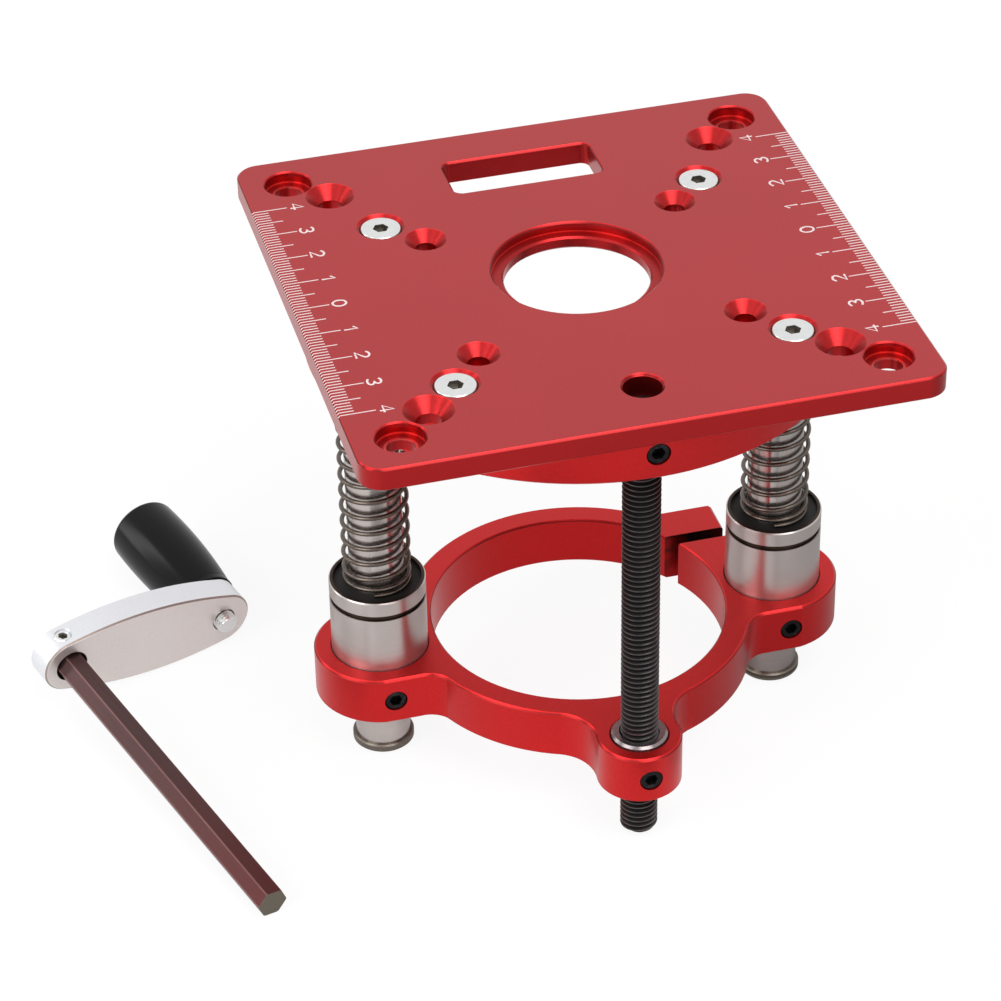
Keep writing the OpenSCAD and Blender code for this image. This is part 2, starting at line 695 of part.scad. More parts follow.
module crank_arm()
    color(alloy) lying_crank() difference() {
        arm_outline(mid_edge);
        translate([0, 0, -past]) cylinder(r = bar_hole_r, h = arm_t + 2 * past);
        translate([arm_l, 0, 0]) drum(grip_bolt_d / 2 + snug, 0, arm_t, mid_edge, 0);
        translate([crank_screw_x, 0, arm_t / 2]) rotate([90, 0, 0])
            cylinder(d = crank_screw_d + 2 * snug, h = arm_half_w);
    }

module hex_bar()
    color(bar_brown) lying_crank() intersection() {
        translate([0, 0, -bar_l])
            cylinder(d = key_size * 2 / sqrt(3), h = bar_l + arm_t - bar_inset, $fn = 6);
        drum(key_size / sqrt(3) + running, -bar_l, arm_t - bar_inset, -bar_edge, -point_edge);
    }

module crank_set_screw() {
    sunk = 0.2;
    color(alloy) lying_crank() translate([crank_screw_x, sunk - arm_end_r, arm_t / 2]) rotate([90, 0, 0])
        set_screw(arm_end_r - sunk - key_size / 2 - snug, crank_screw_d, crank_screw_key);
}

module grip_bolt()
    color(alloy) lying_crank() translate([arm_l, 0, grip_end - bolt_pocket])
        cap_screw(grip_bolt_d, grip_end - bolt_pocket + bolt_proud, cap_head_d, cap_head_h,
                  cap_key, cap_socket);

// Barrel-shaped grip: the section is cut from one wide arc and rounded at its free end
module grip_section() {
    narrowing = 1.6;
    round_r = 1.2;
    belly_r = (pow(grip_belly, 2) + pow(narrowing, 2)) / (2 * narrowing);
    round_z = grip_end - round_r;
    end_r = grip_d / 2 - belly_r + sqrt(pow(belly_r, 2) - pow(round_z - grip_base - grip_belly, 2));
    intersection() {
        translate([0, grip_base]) square([grip_d / 2, grip_l - round_r]);
        translate([grip_d / 2 - belly_r, grip_base + grip_belly]) circle(belly_r, $fn = 720);
    }
    translate([0, grip_base]) square([end_r - round_r, grip_l]);
    translate([end_r - round_r - bite, round_z]) circle(round_r);
}

module crank_grip()
    color(black) lying_crank() translate([arm_l, 0, 0]) difference() {
        rotate_extrude() grip_section();
        translate([0, 0, grip_base - past])
            cylinder(d = grip_bolt_d + 2 * running, h = grip_l + 2 * past);
        translate([0, 0, grip_end - bolt_pocket - running])
            cylinder(d = cap_head_d + 2 * bolt_play, h = bolt_pocket + past);
    }

top_plate();
support_flange();
plate_screws();
guide_rod_left();
guide_rod_right();
retaining_ring_left();
retaining_ring_right();
spring_left();
spring_right();
flange_set_screws();
lead_screw();
motor_clamp();
clamp_screw();
lead_nut();
bearing_shell_left();
bearing_shell_right();
bearing_cage_left();
bearing_cage_right();
bearing_balls_left();
bearing_balls_right();
bearing_seals_left();
bearing_seals_right();
clamp_set_screws();
crank_arm();
hex_bar();
crank_set_screw();
grip_bolt();
crank_grip();
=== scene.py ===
import json
import math
from collections import namedtuple

import bmesh
import bpy
from bpy.props import FloatProperty, FloatVectorProperty, IntProperty, PointerProperty
from mathutils import Matrix, Vector


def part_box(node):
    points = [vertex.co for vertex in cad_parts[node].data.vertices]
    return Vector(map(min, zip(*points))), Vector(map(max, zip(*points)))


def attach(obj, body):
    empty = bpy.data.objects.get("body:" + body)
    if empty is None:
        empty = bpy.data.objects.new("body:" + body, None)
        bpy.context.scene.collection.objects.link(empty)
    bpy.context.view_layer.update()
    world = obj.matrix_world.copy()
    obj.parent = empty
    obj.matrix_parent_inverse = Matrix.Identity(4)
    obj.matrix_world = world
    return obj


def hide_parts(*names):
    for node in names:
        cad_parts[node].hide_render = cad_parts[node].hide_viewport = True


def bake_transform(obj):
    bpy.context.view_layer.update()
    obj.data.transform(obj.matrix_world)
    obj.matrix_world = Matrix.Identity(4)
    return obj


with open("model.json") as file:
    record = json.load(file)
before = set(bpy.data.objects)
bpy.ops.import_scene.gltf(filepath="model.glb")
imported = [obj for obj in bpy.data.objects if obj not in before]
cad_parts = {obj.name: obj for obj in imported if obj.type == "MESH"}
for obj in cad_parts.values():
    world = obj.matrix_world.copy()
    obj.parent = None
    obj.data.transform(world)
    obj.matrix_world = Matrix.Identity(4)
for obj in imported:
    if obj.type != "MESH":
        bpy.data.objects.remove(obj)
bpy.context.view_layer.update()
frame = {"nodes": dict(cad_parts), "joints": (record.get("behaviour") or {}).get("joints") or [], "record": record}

bl_info = {
    "name": "Router Lift",
    "version": (1, 0, 0),
    "blender": (4, 5, 0),
    "location": "3D View > Sidebar > Router Lift",
    "description": "Gives the router lift its threads, springs, scales, finishes and studio",
    "category": "Object",
}

MM = 0.001
PLATE_LOW, PLATE_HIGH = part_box("top_plate")
FOOT_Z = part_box("guide_rod_left")[0].z
ROD_X = sum(corner.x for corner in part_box("guide_rod_right")) / 2
CLAMP_LOW, CLAMP_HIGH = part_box("motor_clamp")
JOINTS = {joint["name"]: joint for joint in frame["joints"]}
MOUNTS = {mount["name"]: mount["dims"] for mount in frame["record"]["mounts"]}
# Level faces are those whose normal leans less than this from upright, as a cosine
LEVEL_COSINE = 0.995
# Faces within this distance of a height count as lying at it
SKIN = 0.1 * MM
# Vertices closer than this are one
WELD = 0.002 * MM
# A sharp 60 degree thread keeps this share of its pitch as depth
THREAD_DEPTH = 0.6134
# Thread section over one pitch: share of the depth, then share of the pitch
THREAD_SECTION = ((0, 0), (0, 0.125), (1, 0.4375), (1, 0.5625), (0, 0.875), (0, 1))
# How far a shank reaches into the head and the thread that it joins
SHANK_LAP = 0.2 * MM
# Rounding of a screw head's rim, as a share of the head's radius
HEAD_ROUNDING = 0.09
# How far the mouth of the crank's set screw lies below the screw's highest point
SOCKET_DROP = 0.8 * MM
# Half the width of the strip in the plate's middle that holds the slot and the bit opening
MIDDLE_STRIP = 20 * MM
# Shares of their chamfers' height that the painted shade on the lower lips of the plate's and the clamp's chamfers
# takes
PLATE_LIP_SHADE = 0.5
CLAMP_LIP_SHADE = 0.6
# How much the darkening in the clamp's split grows with each metre of height
DARKENING_RISE = 40
# How far turned steel draws its highlights out, and their turn from round its axis to along it
TURNED_STRETCH = 0.75
QUARTER_TURN = 0.25
# Width of the camera's sensor in mm
SENSOR_WIDTH = 36

Screw = namedtuple("Screw", "radius pitch thread head_radius head_height key socket")


def tone(red, green, blue):
    """Linear colour of a shade given as display values from 0 to 255."""
    return tuple((value / 255) ** 2.2 for value in (red, green, blue))


def length_property(name, description, default):
    """A property for a length in metres."""
    return FloatProperty(
        name=name, description=description, default=default, precision=5, unit="LENGTH"
    )


def colour_property(name, description, default):
    """A property for a linear colour."""
    return FloatVectorProperty(
        name=name, description=description, default=default, size=3, subtype="COLOR", min=0, max=1
    )


def angle_property(name, description, degrees):
    """A property for an angle, with its default in degrees."""
    return FloatProperty(
        name=name, description=description, default=math.radians(degrees), unit="ROTATION"
    )


def share_property(name, description, default):
    """A property for a share from 0 to 1."""
    return FloatProperty(
        name=name, description=description, default=default, min=0, max=1, subtype="FACTOR"
    )


def power_property(name, description, default):
    """A property for a lamp's power in watts."""
    return FloatProperty(name=name, description=description, default=default, unit="POWER")


class RouterLiftSizes(bpy.types.PropertyGroup):
    """Sizes of the pieces that are modelled here."""

    lead_pitch: length_property("Lead pitch", "Pitch of the lead screw's thread", 1.25 * MM)
    bolt_pitch: length_property("Bolt pitch", "Pitch of the small screws' threads", 0.8 * MM)
    point_chamfer: length_property("Point", "Chamfer at the points of the screws", 0.6 * MM)
    wire_d: length_property("Wire", "Diameter of the springs' wire", 1.0 * MM)
    coil_d: length_property("Coil", "Outer diameter of the springs", 15.0 * MM)
    closed_pitch: length_property("Closed pitch", "Pitch of the springs' end turns", 1.5 * MM)
    spring_turns: FloatProperty(
        name="Spring turns", description="Turns of each spring", default=15.5, min=8, max=20
    )
    spring_start: angle_property("Spring start", "Where the springs' lower ends lie", -100)
    turn_steps: IntProperty(
        name="Turn steps", description="Faces to one turn of wire or thread", default=40, min=16
    )
    bevel: length_property("Plate bevel", "Chamfer round the plate's upper edge", 0.4 * MM)
    clamp_bevel: length_property("Clamp bevel", "Chamfer round the clamp's edges", 0.5 * MM)
    counterbore_d: length_property("Counterbore", "Width of the corner holes' heads", 10.1 * MM)
    counterbore_depth: length_property("Counterbore depth", "Depth of those heads", 2.5 * MM)
    recess_depth: length_property("Recess depth", "Depth of the bit opening's recess", 2.2 * MM)
    split_front: length_property("Split front", "Where the clamp's split begins behind X", 16 * MM)
    split_gap: length_property("Split gap", "Width of the clamp's split", 3.3 * MM)
    bar_hole_d: length_property("Bar hole", "Hole in the arm that takes the bar", 7.63 * MM)
    key_size: length_property("Key size", "Hexagon bar across its flats", 6 * MM)
    red_length: length_property("Red length", "How far the bar is tinted red from its end", 50 * MM)
    arm_bevel: length_property("Arm bevel", "Chamfer round the arm's faces", 0.4 * MM)
    mark_width: length_property("Mark width", "Width of a scale's lines", 0.28 * MM)
    mark_height: length_property("Mark height", "How far the marks stand on the plate", 0.01 * MM)
    long_mark: length_property("Long mark", "Length of the marks at whole centimetres", 7.6 * MM)
    middle_mark: length_property("Middle mark", "Length of the marks at half centimetres", 5.7 * MM)
    short_mark: length_property("Short mark", "Length of the marks at millimetres", 3.4 * MM)
    digit_height: length_property("Digit height", "Height of the scales' digits", 2.8 * MM)
    digit_line: length_property("Digit line", "Width of the digits' lines", 0.46 * MM)
    digit_inset: length_property("Digit inset", "Digits' middle from the plate's side", 9.68 * MM)
    scale_middle: length_property("Scale middle", "Nought's place behind the middle", 0.3 * MM)
    scale_reach: IntProperty(
        name="Scale reach", description="Centimetres marked each way from nought", default=4, min=1
    )


class RouterLiftColours(bpy.types.PropertyGroup):
    """Colours of the finishes."""

    red_level: colour_property("Blasted red", "Level faces of the red pieces", tone(194, 40, 45))
    red_wall: colour_property("Cut red", "Walls of the flange and the clamp", tone(222, 33, 35))
    # Painted shade: the plate's sides and the walls and floors of its holes get this darker red
    red_hole_shade: colour_property("Deep red", "Sides and holes of the plate", tone(184, 26, 29))
    # Painted highlight along the rims of the steps in the corner holes and the bit opening
    red_rim_highlight: colour_property("Rim red", "Rims of the steps in the corner holes", tone(236, 80, 77))
    # Dark red-brown in patches on the faces of the clamp's split, more so higher up
    split_dark: colour_property("Stain", "Dark stain in the clamp's split", tone(84, 40, 39))
    bright_steel: colour_property("Bright steel", "Rods and bearings", tone(200, 194, 191))
    dark_steel: colour_property("Dark steel", "Turning marks in bright steel", tone(172, 164, 160))
    groove: colour_property("Groove", "Grooves of the bearings", tone(62, 52, 46))
    wire: colour_property("Spring wire", "Drawn spring wire", tone(116, 106, 99))
    wire_shade: colour_property("Wire shade", "Darker streaks of the wire", tone(72, 64, 58))
    black_oxide: colour_property("Black oxide", "Set screws", tone(30, 30, 32))
    worn_oxide: colour_property("Worn oxide", "Worn spots of black screws", tone(70, 70, 73))
    charcoal: colour_property("Charcoal", "Flanks of the lead screw's thread", tone(57, 55, 56))
    # Painted highlight along the crests of the lead screw's thread
    crest_highlight: colour_property("Worn crest", "Crests of the lead screw's thread", tone(114, 111, 110))
    zinc: colour_property("Zinc", "Plate screws and the grip's bolt", tone(228, 230, 229))
    # Painted shade in the sockets of the plated screws
    zinc_shade: colour_property("Zinc shade", "Sockets of the plated screws", tone(140, 135, 128))
    phosphate: colour_property("Phosphate", "Retaining rings", tone(120, 112, 104))
    nut: colour_property("Nut", "Lead nut", tone(146, 136, 137))
    rubber: colour_property("Rubber", "Bearing seals", tone(44, 43, 42))
    cage: colour_property("Cage", "Bearing cages", tone(46, 46, 48))
    # Painted reflections: the arm's sides are tinted cool here and its bar's face warm below
    silver: colour_property("Silver", "Sides of the crank arm", tone(236, 237, 241))
    silver_face_reflection: colour_property("Silver face", "Bar's face of the crank arm", tone(234, 227, 224))
    # Painted shade on the chamfers round the bar's face, drawing a darker outline
    silver_edge_shade: colour_property("Silver edge", "Dull edges of the crank arm", tone(158, 145, 139))
    # Painted shade inside the bar's hole in the arm
    silver_hole_shade: colour_property("Silver hole", "Hole of the bar in the arm", tone(44, 40, 38))
    bar: colour_property("Bar", "Hexagon bar", tone(91, 70, 69))
    bar_shade: colour_property("Bar shade", "Darker streaks of the bar", tone(68, 44, 45))
    # Corners of the bar, paler partly from wear and partly as a painted highlight
    bar_edge_wear_highlight: colour_property("Bar edge", "Worn corners of the bar", tone(128, 95, 92))
    bar_red: colour_property("Bar red", "Redder tint towards the bar's end", tone(98, 52, 52))
    bar_end: colour_property("Bar end", "Bare steel where the bar is cut off", tone(98, 92, 82))
    grip: colour_property("Grip", "Glossy grip", tone(14, 14, 16))
    marks: colour_property("Marks", "Lines and digits of the scales", tone(240, 220, 220))
    floor: colour_property("Floor", "Floor and backdrop", tone(242, 242, 242))
    # Painted shadow: seen only in reflections, this grey card on the floor at the right stands in for the lift's
    # shadow there
    side_shadow_card: colour_property("Side card", "Reflected card at the right", tone(196, 196, 196))
    # Painted dark reflection: seen only in reflections, this dark card on the floor in front darkens the rods' and
    # bearings' reflections
    front_dark_reflection_card: colour_property("Front card", "Reflected card at the front", tone(70, 70, 70))


class RouterLiftStage(bpy.types.PropertyGroup):
    """The camera's place and the studio's lights."""

    camera_place: FloatVectorProperty(
        name="Camera place",
        description="Where the camera stands",
        default=(-0.17806, -0.61408, 0.39610),
        subtype="TRANSLATION",
        unit="LENGTH",
    )
    azimuth: angle_property("Azimuth", "Camera's turn to the right from straight behind", 14.677)
    elevation: angle_property("Elevation", "How far the camera looks down", 35.452)
    roll: angle_property("Roll", "Camera's turn about its own axis", -1.053)
    lens: FloatProperty(
        name="Lens", description="Focal length on a 36 mm sensor, in mm", default=130.62
    )
    ambient: FloatProperty(
        name="Ambient", description="Strength of the light from all round", default=0.45
    )
    key_power: power_property("Key light", "Power of the softbox above the camera", 8)
    side_power: power_property("Side light", "Power of the left softbox", 8)
    strip_power: power_property("Strip light", "Power of the narrow softbox at the back left", 1.4)
    seen_white: share_property("Seen white", "How far the floor is plain white to the camera", 0.87)
    mirrored_white: share_property("Mirrored white", "How far it is so in reflections", 0.35)


class Signal:
    """A node's output. Arithmetic on it adds Math nodes to its material."""

    def __init__(self, finish, socket):
        self.finish = finish
        self.socket = socket

    def math(self, operation, first, second=0.0):
        """Result of a Math node."""
        return self.finish.node("ShaderNodeMath", {"operation": operation}, {0: first, 1: second})

    def __add__(self, other):
        return self.math("ADD", self, other)

    def __radd__(self, other):
        return self.math("ADD", other, self)

    def __sub__(self, other):
        return self.math("SUBTRACT", self, other)

    def __rsub__(self, other):
        return self.math("SUBTRACT", other, self)

    def __mul__(self, other):
        return self.math("MULTIPLY", self, other)

    def __rmul__(self, other):
        return self.math("MULTIPLY", other, self)

    def __gt__(self, other):
        return self.math("GREATER_THAN", self, other)

    def __lt__(self, other):
        return self.math("LESS_THAN", self, other)

    def __abs__(self):
        return self.math("ABSOLUTE", self)

    def larger(self, other):
        """The larger of two values."""
        return self.math("MAXIMUM", self, other)

    def between(self, low, high):
        """1 between two values, and 0 elsewhere."""
        return (self > low) * (self < high)


class Finish:
    """A procedural finish that is put together node by node."""

    def __init__(self, tree):
        self.tree = tree
        self.tree.nodes.clear()

    @classmethod
    def of_material(cls, name):
        """A finish for a new material of that name."""
        material = bpy.data.materials.new(name)
        material.use_nodes = True
        finish = cls(material.node_tree)
        finish.material = material
        return finish

    def node(self, kind, settings, inputs, output=0):
        """Adds a node, applies its settings, feeds its inputs and returns an output, if it has any."""
        made = self.tree.nodes.new(kind)
        for name, setting in settings.items():
            if name == "stops":
                self.set_stops(made.color_ramp.elements, setting)
            else:
                setattr(made, name, setting)
        for name, value in inputs.items():
            if isinstance(value, Signal):
                self.tree.links.new(value.socket, made.inputs[name])
            else:
                made.inputs[name].default_value = value
        return Signal(self, made.outputs[output]) if made.outputs else None

    @staticmethod
    def set_stops(elements, stops):
        """Gives a ramp its stops, each a position and a grey level."""
        while len(elements) < len(stops):
            elements.new(1)
        for element, (position, level) in zip(elements, stops):
            element.position = position
            element.color = (level, level, level, 1)

    def place(self):
        """Object coordinates, in metres."""
        return self.node("ShaderNodeTexCoord", {}, {}, "Object")

    def along(self, axis):
        """Object coordinate along X, Y or Z."""
        return self.node("ShaderNodeSeparateXYZ", {}, {0: self.place()}, axis)

    def vector(self, operation, inputs, output="Vector"):
        """Result of a Vector Math node."""
        return self.node("ShaderNodeVectorMath", {"operation": operation}, inputs, output)

    def reach(self, axis):
        """Object coordinate along any axis."""
        return self.vector("DOT_PRODUCT", {0: self.place(), 1: axis}, "Value")

    def off_axis(self, through, axis=(0, 0, 1)):
        """Distance from the line that goes through a point along an axis."""
        offset = self.vector("SUBTRACT", {0: self.place(), 1: through})
        return self.vector("LENGTH", {0: self.vector("CROSS_PRODUCT", {0: offset, 1: axis})}, "Value")

    def off_uprights(self, x, y):
        """Distance from the nearest of the upright lines at plus and minus x and y."""
        folded = self.vector("ABSOLUTE", {0: self.place()})
        offset = self.vector("SUBTRACT", {0: folded, 1: (x, y, 0)})
        return self.vector("LENGTH", {0: self.vector("MULTIPLY", {0: offset, 1: (1, 1, 0)})}, "Value")

    def level(self):
        """1 on faces that lie level, and 0 on walls and slopes."""
        normal = self.node("ShaderNodeTexCoord", {}, {}, "Normal")
        return abs(self.node("ShaderNodeSeparateXYZ", {}, {0: normal}, "Z")) > LEVEL_COSINE

    def noise(self, scale, detail=2.0, stretch=(1, 1, 1), roughness=0.55):
        """Noise from 0 to 1. The scale is in cells to a metre, and stretch multiplies it by axis."""
        spot = self.node("ShaderNodeMapping", {}, {"Vector": self.place(), "Scale": stretch})
        return self.node(
            "ShaderNodeTexNoise",
            {},
            {"Vector": spot, "Scale": scale, "Detail": detail, "Roughness": roughness},
        )

    def streaks(self, axis, scale, detail=3.0, squeeze=0.03):
        """Noise that is drawn out along an axis, as on drawn or ground stock."""
        shift = self.vector("SCALE", {0: axis, "Scale": self.reach(axis) * (1 - squeeze)})
        drawn = self.vector("SUBTRACT", {0: self.place(), 1: shift})
        return self.node(
            "ShaderNodeTexNoise", {}, {"Vector": drawn, "Scale": scale, "Detail": detail}
        )

    def ramp(self, signal, *stops):
        """Grey level of a signal through a ramp of stops."""
        return self.node("ShaderNodeValToRGB", {"stops": stops}, {0: signal})

    def mix(self, factor, low, high):
        """A colour between two colours."""
        colours = [c if isinstance(c, Signal) else (*c, 1) for c in (low, high)]
        return self.node(
            "ShaderNodeMix", {"data_type": "RGBA"}, {0: factor, 6: colours[0], 7: colours[1]}, 2
        )

    def varied(self, factor, colour, least):
        """A colour that a factor takes from a least share of itself up to the whole."""
        return self.mix(factor, [least * c for c in colour], colour)

    def bump(self, height, depth, strength=1.0):
        """A normal bent by a height signal whose full swing is a depth in metres."""
        return self.node(
            "ShaderNodeBump", {}, {"Height": height, "Distance": depth, "Strength": strength}
        )

    def surface(self, **inputs):
        """Ends the material in one shader and returns it. Underscores stand for spaces."""
        named = {name.replace("_", " "): value for name, value in inputs.items()}
        return self.output(self.node("ShaderNodeBsdfPrincipled", {}, named))

    def output(self, shader):
        """Ends the material in a shader and returns it."""
        self.node("ShaderNodeOutputMaterial", {}, {"Surface": shader})
        return self.material


def shaded_chamfer_lips(finish, height, sizes):
    """1 on the lower lips of the upper chamfers of the plate and the clamp, which are painted darker as shade so
    that their highlights stay thin.
    """
    across, behind = abs(finish.along("X")), abs(finish.along("Y"))
    round_plate = across.larger(behind) > PLATE_HIGH.x - MM
    plate_shaded_lips = height.between(-sizes.bevel, (PLATE_LIP_SHADE - 1) * sizes.bevel)
    clamp_foot = CLAMP_HIGH.z - sizes.clamp_bevel
    clamp_shaded_lips = height.between(clamp_foot, clamp_foot + CLAMP_LIP_SHADE * sizes.clamp_bevel)
    return (plate_shaded_lips * round_plate.larger(across < MIDDLE_STRIP)).larger(clamp_shaded_lips)


def step_rim_highlights(finish, height, sizes):
    """1 on the rims of the steps in the plate's corner holes and in its bit opening, which get a painted
    highlight.
    """
    corner = MOUNTS["corner_bolts"]["spacing_x_mm"] / 2 * MM
    hole = MOUNTS["corner_bolts"]["hole_r_mm"] * MM
    recess = MOUNTS["insert_recess"]["r_mm"] * MM
    bore = sizes.counterbore_d / 2
    from_corner, from_centre = finish.off_uprights(corner, corner), finish.off_axis((0, 0, 0))
    at_step = abs(height + sizes.counterbore_depth) < 3 * SKIN
    by_rim = (from_corner < hole + 5 * SKIN) + from_corner.between(bore - 2 * SKIN, bore + SKIN)
    at_ledge = abs(height + sizes.recess_depth) < 2.5 * SKIN
    return at_step * by_rim + at_ledge * from_centre.between(recess - SKIN, recess + SKIN)


def split_darkening(finish, height, sizes):
    """From 0 to 1 on the faces of the clamp's split, which go darker in noisy patches, more so higher up."""
    front, back = sizes.split_front, sizes.split_front + sizes.split_gap
    in_split = finish.along("Y").between(front - SKIN / 2, back + SKIN / 2)
    on_right = finish.along("X") > front
    in_clamp = height < CLAMP_HIGH.z + SKIN
    middle = (CLAMP_LOW.z + CLAMP_HIGH.z) / 2
    depth = finish.noise(140, 3) + DARKENING_RISE * (height - middle)
    return in_split * on_right * in_clamp * finish.ramp(depth, (0.4, 0.0), (0.62, 0.95))


def red_anodised(colours, sizes):
    """Dyed anodised alloy: blasted and hazy on the plate's top, cut bright on walls and in holes. Painted shade
    darkens the plate's sides and holes and the lower lips of the chamfers, painted highlights brighten the rims of
    the steps, and the faces of the clamp's split are darker in patches.
    """
    finish = Finish.of_material("red_anodised")
    height = finish.along("Z")
    level = finish.level()
    in_plate = height.between(PLATE_LOW.z + SKIN, -SKIN)
    top = level * (height > -SKIN)
    grain = finish.noise(2600, 3)
    shade = 0.25 * finish.noise(24, 2) + 0.75 * grain
    # Painted shade: within the plate's height, its sides and holes take the darker red
    red = finish.mix(in_plate, colours.red_wall, colours.red_hole_shade)
    red = finish.mix(top, red, colours.red_level)
    # Painted highlight on the rims of the steps
    red = finish.mix(step_rim_highlights(finish, height, sizes), red, colours.red_rim_highlight)
    # The faces of the clamp's split go darker in patches, more so higher up
    red = finish.mix(split_darkening(finish, height, sizes), red, colours.split_dark)
    # Darker with the grain, and with painted shade on the chamfers' lower lips
    dark = (0.5 * (1 - shade)).larger(0.65 * shaded_chamfer_lips(finish, height, sizes))
    return finish.surface(
        Base_Color=finish.mix(dark, red, (0, 0, 0)),
        Metallic=0.92,
        Roughness=0.26 + 0.2 * level * (1 - 0.7 * in_plate) + 0.08 * grain,
        Normal=finish.bump(grain, 0.02 * MM, 0.5),
        Coat_Weight=0.25 + 0.3 * top,
        Coat_Roughness=0.4,
    )


def turned_steel(name, colours, lines, roughness, groove_radius=0.0):
    """Bright steel with faint lines round its upright axis, and dark grooves inside a radius."""
    finish = Finish.of_material(name)
    rings = finish.noise(lines, 4, (0.02, 0.02, 1))
    smear = finish.noise(160, 2)
    metal = finish.mix(0.6 * rings + 0.4 * smear, colours.dark_steel, colours.bright_steel)
    if groove_radius:
        in_groove = finish.off_uprights(ROD_X, 0) < groove_radius
        metal = finish.mix(in_groove, metal, colours.groove)
    return finish.surface(
        Base_Color=metal,
        Metallic=1.0,
        Roughness=roughness + 0.06 * rings + 0.06 * smear,
        Normal=finish.bump(rings, 0.003 * MM, 0.3),
        Anisotropic=TURNED_STRETCH,
        Anisotropic_Rotation=QUARTER_TURN,
    )


def spring_wire(colours):
    """Drawn wire, grey-brown with a keen shine."""
    finish = Finish.of_material("spring_wire")
    blotch = finish.noise(420, 3)
    fine = finish.noise(3200, 3)
    return finish.surface(
        Base_Color=finish.mix(0.6 * blotch + 0.4 * fine, colours.wire_shade, colours.wire),
        Metallic=0.95,
        Roughness=0.2 + 0.12 * fine,
        Normal=finish.bump(fine, 0.008 * MM, 0.3),
    )


def black_oxide(colours):
    """Blackened steel with an oily shine and paler worn spots."""
    finish = Finish.of_material("black_oxide")
    fine = finish.noise(2400, 3)
    worn = finish.ramp(finish.noise(700, 4), (0.5, 0.0), (0.75, 0.6))
    return finish.surface(
        Base_Color=finish.mix(worn, colours.black_oxide, colours.worn_oxide),
        Metallic=0.8,
        Roughness=0.3 + 0.14 * fine,
        Normal=finish.bump(fine, 0.008 * MM, 0.4),
    )


def charcoal_thread(colours, through, radius):
    """Blackened thread round an upright axis, with a painted highlight in grey on its crests beyond a radius."""
    finish = Finish.of_material("charcoal_thread")
    fine = finish.noise(2400, 3)
    flanks = finish.off_axis(through) < radius
    # The crests' painted highlight, uneven with noise
    crest = finish.mix(finish.noise(500, 3), colours.charcoal, colours.crest_highlight)
    return finish.surface(
        Base_Color=finish.mix(flanks, crest, colours.charcoal),
        Metallic=0.8,
        Roughness=0.26 + 0.14 * fine,
        Normal=finish.bump(fine, 0.008 * MM, 0.4),
    )


def plated_steel(name, colours, axis, top, depth):
    """Pale zinc plating with a cloudy shine, with painted shade in the sockets that go down along an axis."""
    finish = Finish.of_material(name)
    cloud = finish.noise(600, 3)
    fine = finish.noise(3000, 2)
    zinc = finish.varied(cloud, colours.zinc, 0.84)
    height = finish.reach(axis)
    # Painted shade in the sockets, between their mouth and their floor
    in_socket = height.between(top - depth - SKIN, top - SKIN)
    return finish.surface(
        Base_Color=finish.mix(in_socket, zinc, colours.zinc_shade),
        Metallic=0.9,
        Roughness=0.18 + 0.12 * fine,
        Normal=finish.bump(fine, 0.006 * MM, 0.3),
    )


def dull_steel(name, colour, roughness):
    """Dull grey steel of the retaining rings and the lead nut."""
    finish = Finish.of_material(name)
    fine = finish.noise(1800, 3)
    return finish.surface(
        Base_Color=finish.varied(fine, colour, 0.6),
        Metallic=0.9,
        Roughness=roughness + 0.14 * fine,
        Normal=finish.bump(fine, 0.008 * MM, 0.3),
    )


def moulded(name, colour, roughness, grain_depth):
    """Dark moulded rubber or plastic with a fine grain."""
    finish = Finish.of_material(name)
    grain = finish.noise(2200, 3)
    return finish.surface(
        Base_Color=finish.varied(grain, colour, 0.6),
        Roughness=roughness + 0.12 * grain,
        Normal=finish.bump(grain, grain_depth, 0.4),
        Specular_IOR_Level=0.25,
    )


def silver_anodised(colours, sizes, line, face):
    """Blasted and clear anodised alloy with painted reflections, warm on the bar's face and cool on the sides, and
    painted shade on the edges round that face and in the bar's hole.
    """
    finish = Finish.of_material("silver_anodised")
    grain = finish.noise(2100, 3)
    drift = finish.noise(45, 2)
    reach = finish.reach(line[1])
    # Painted reflection: the bar's face warm, the sides cool
    silver = finish.mix(reach < face + SKIN / 2, colours.silver, colours.silver_face_reflection)
    silver = finish.mix(0.22 * (1 - 0.3 * drift - 0.7 * grain), silver, (0, 0, 0))
    # Painted shade on the chamfers round the bar's face
    on_edge = reach.between(face + SKIN / 2, face + sizes.arm_bevel)
    silver = finish.mix(on_edge, silver, colours.silver_edge_shade)
    # Painted shade inside the bar's hole
    in_hole = finish.off_axis(*line) < sizes.bar_hole_d / 2 + SKIN / 2
    return finish.surface(
        Base_Color=finish.mix(in_hole, silver, colours.silver_hole_shade),
        Metallic=0.85,
        Roughness=0.34 + 0.14 * grain,
        Normal=finish.bump(grain, 0.03 * MM, 0.5),
    )


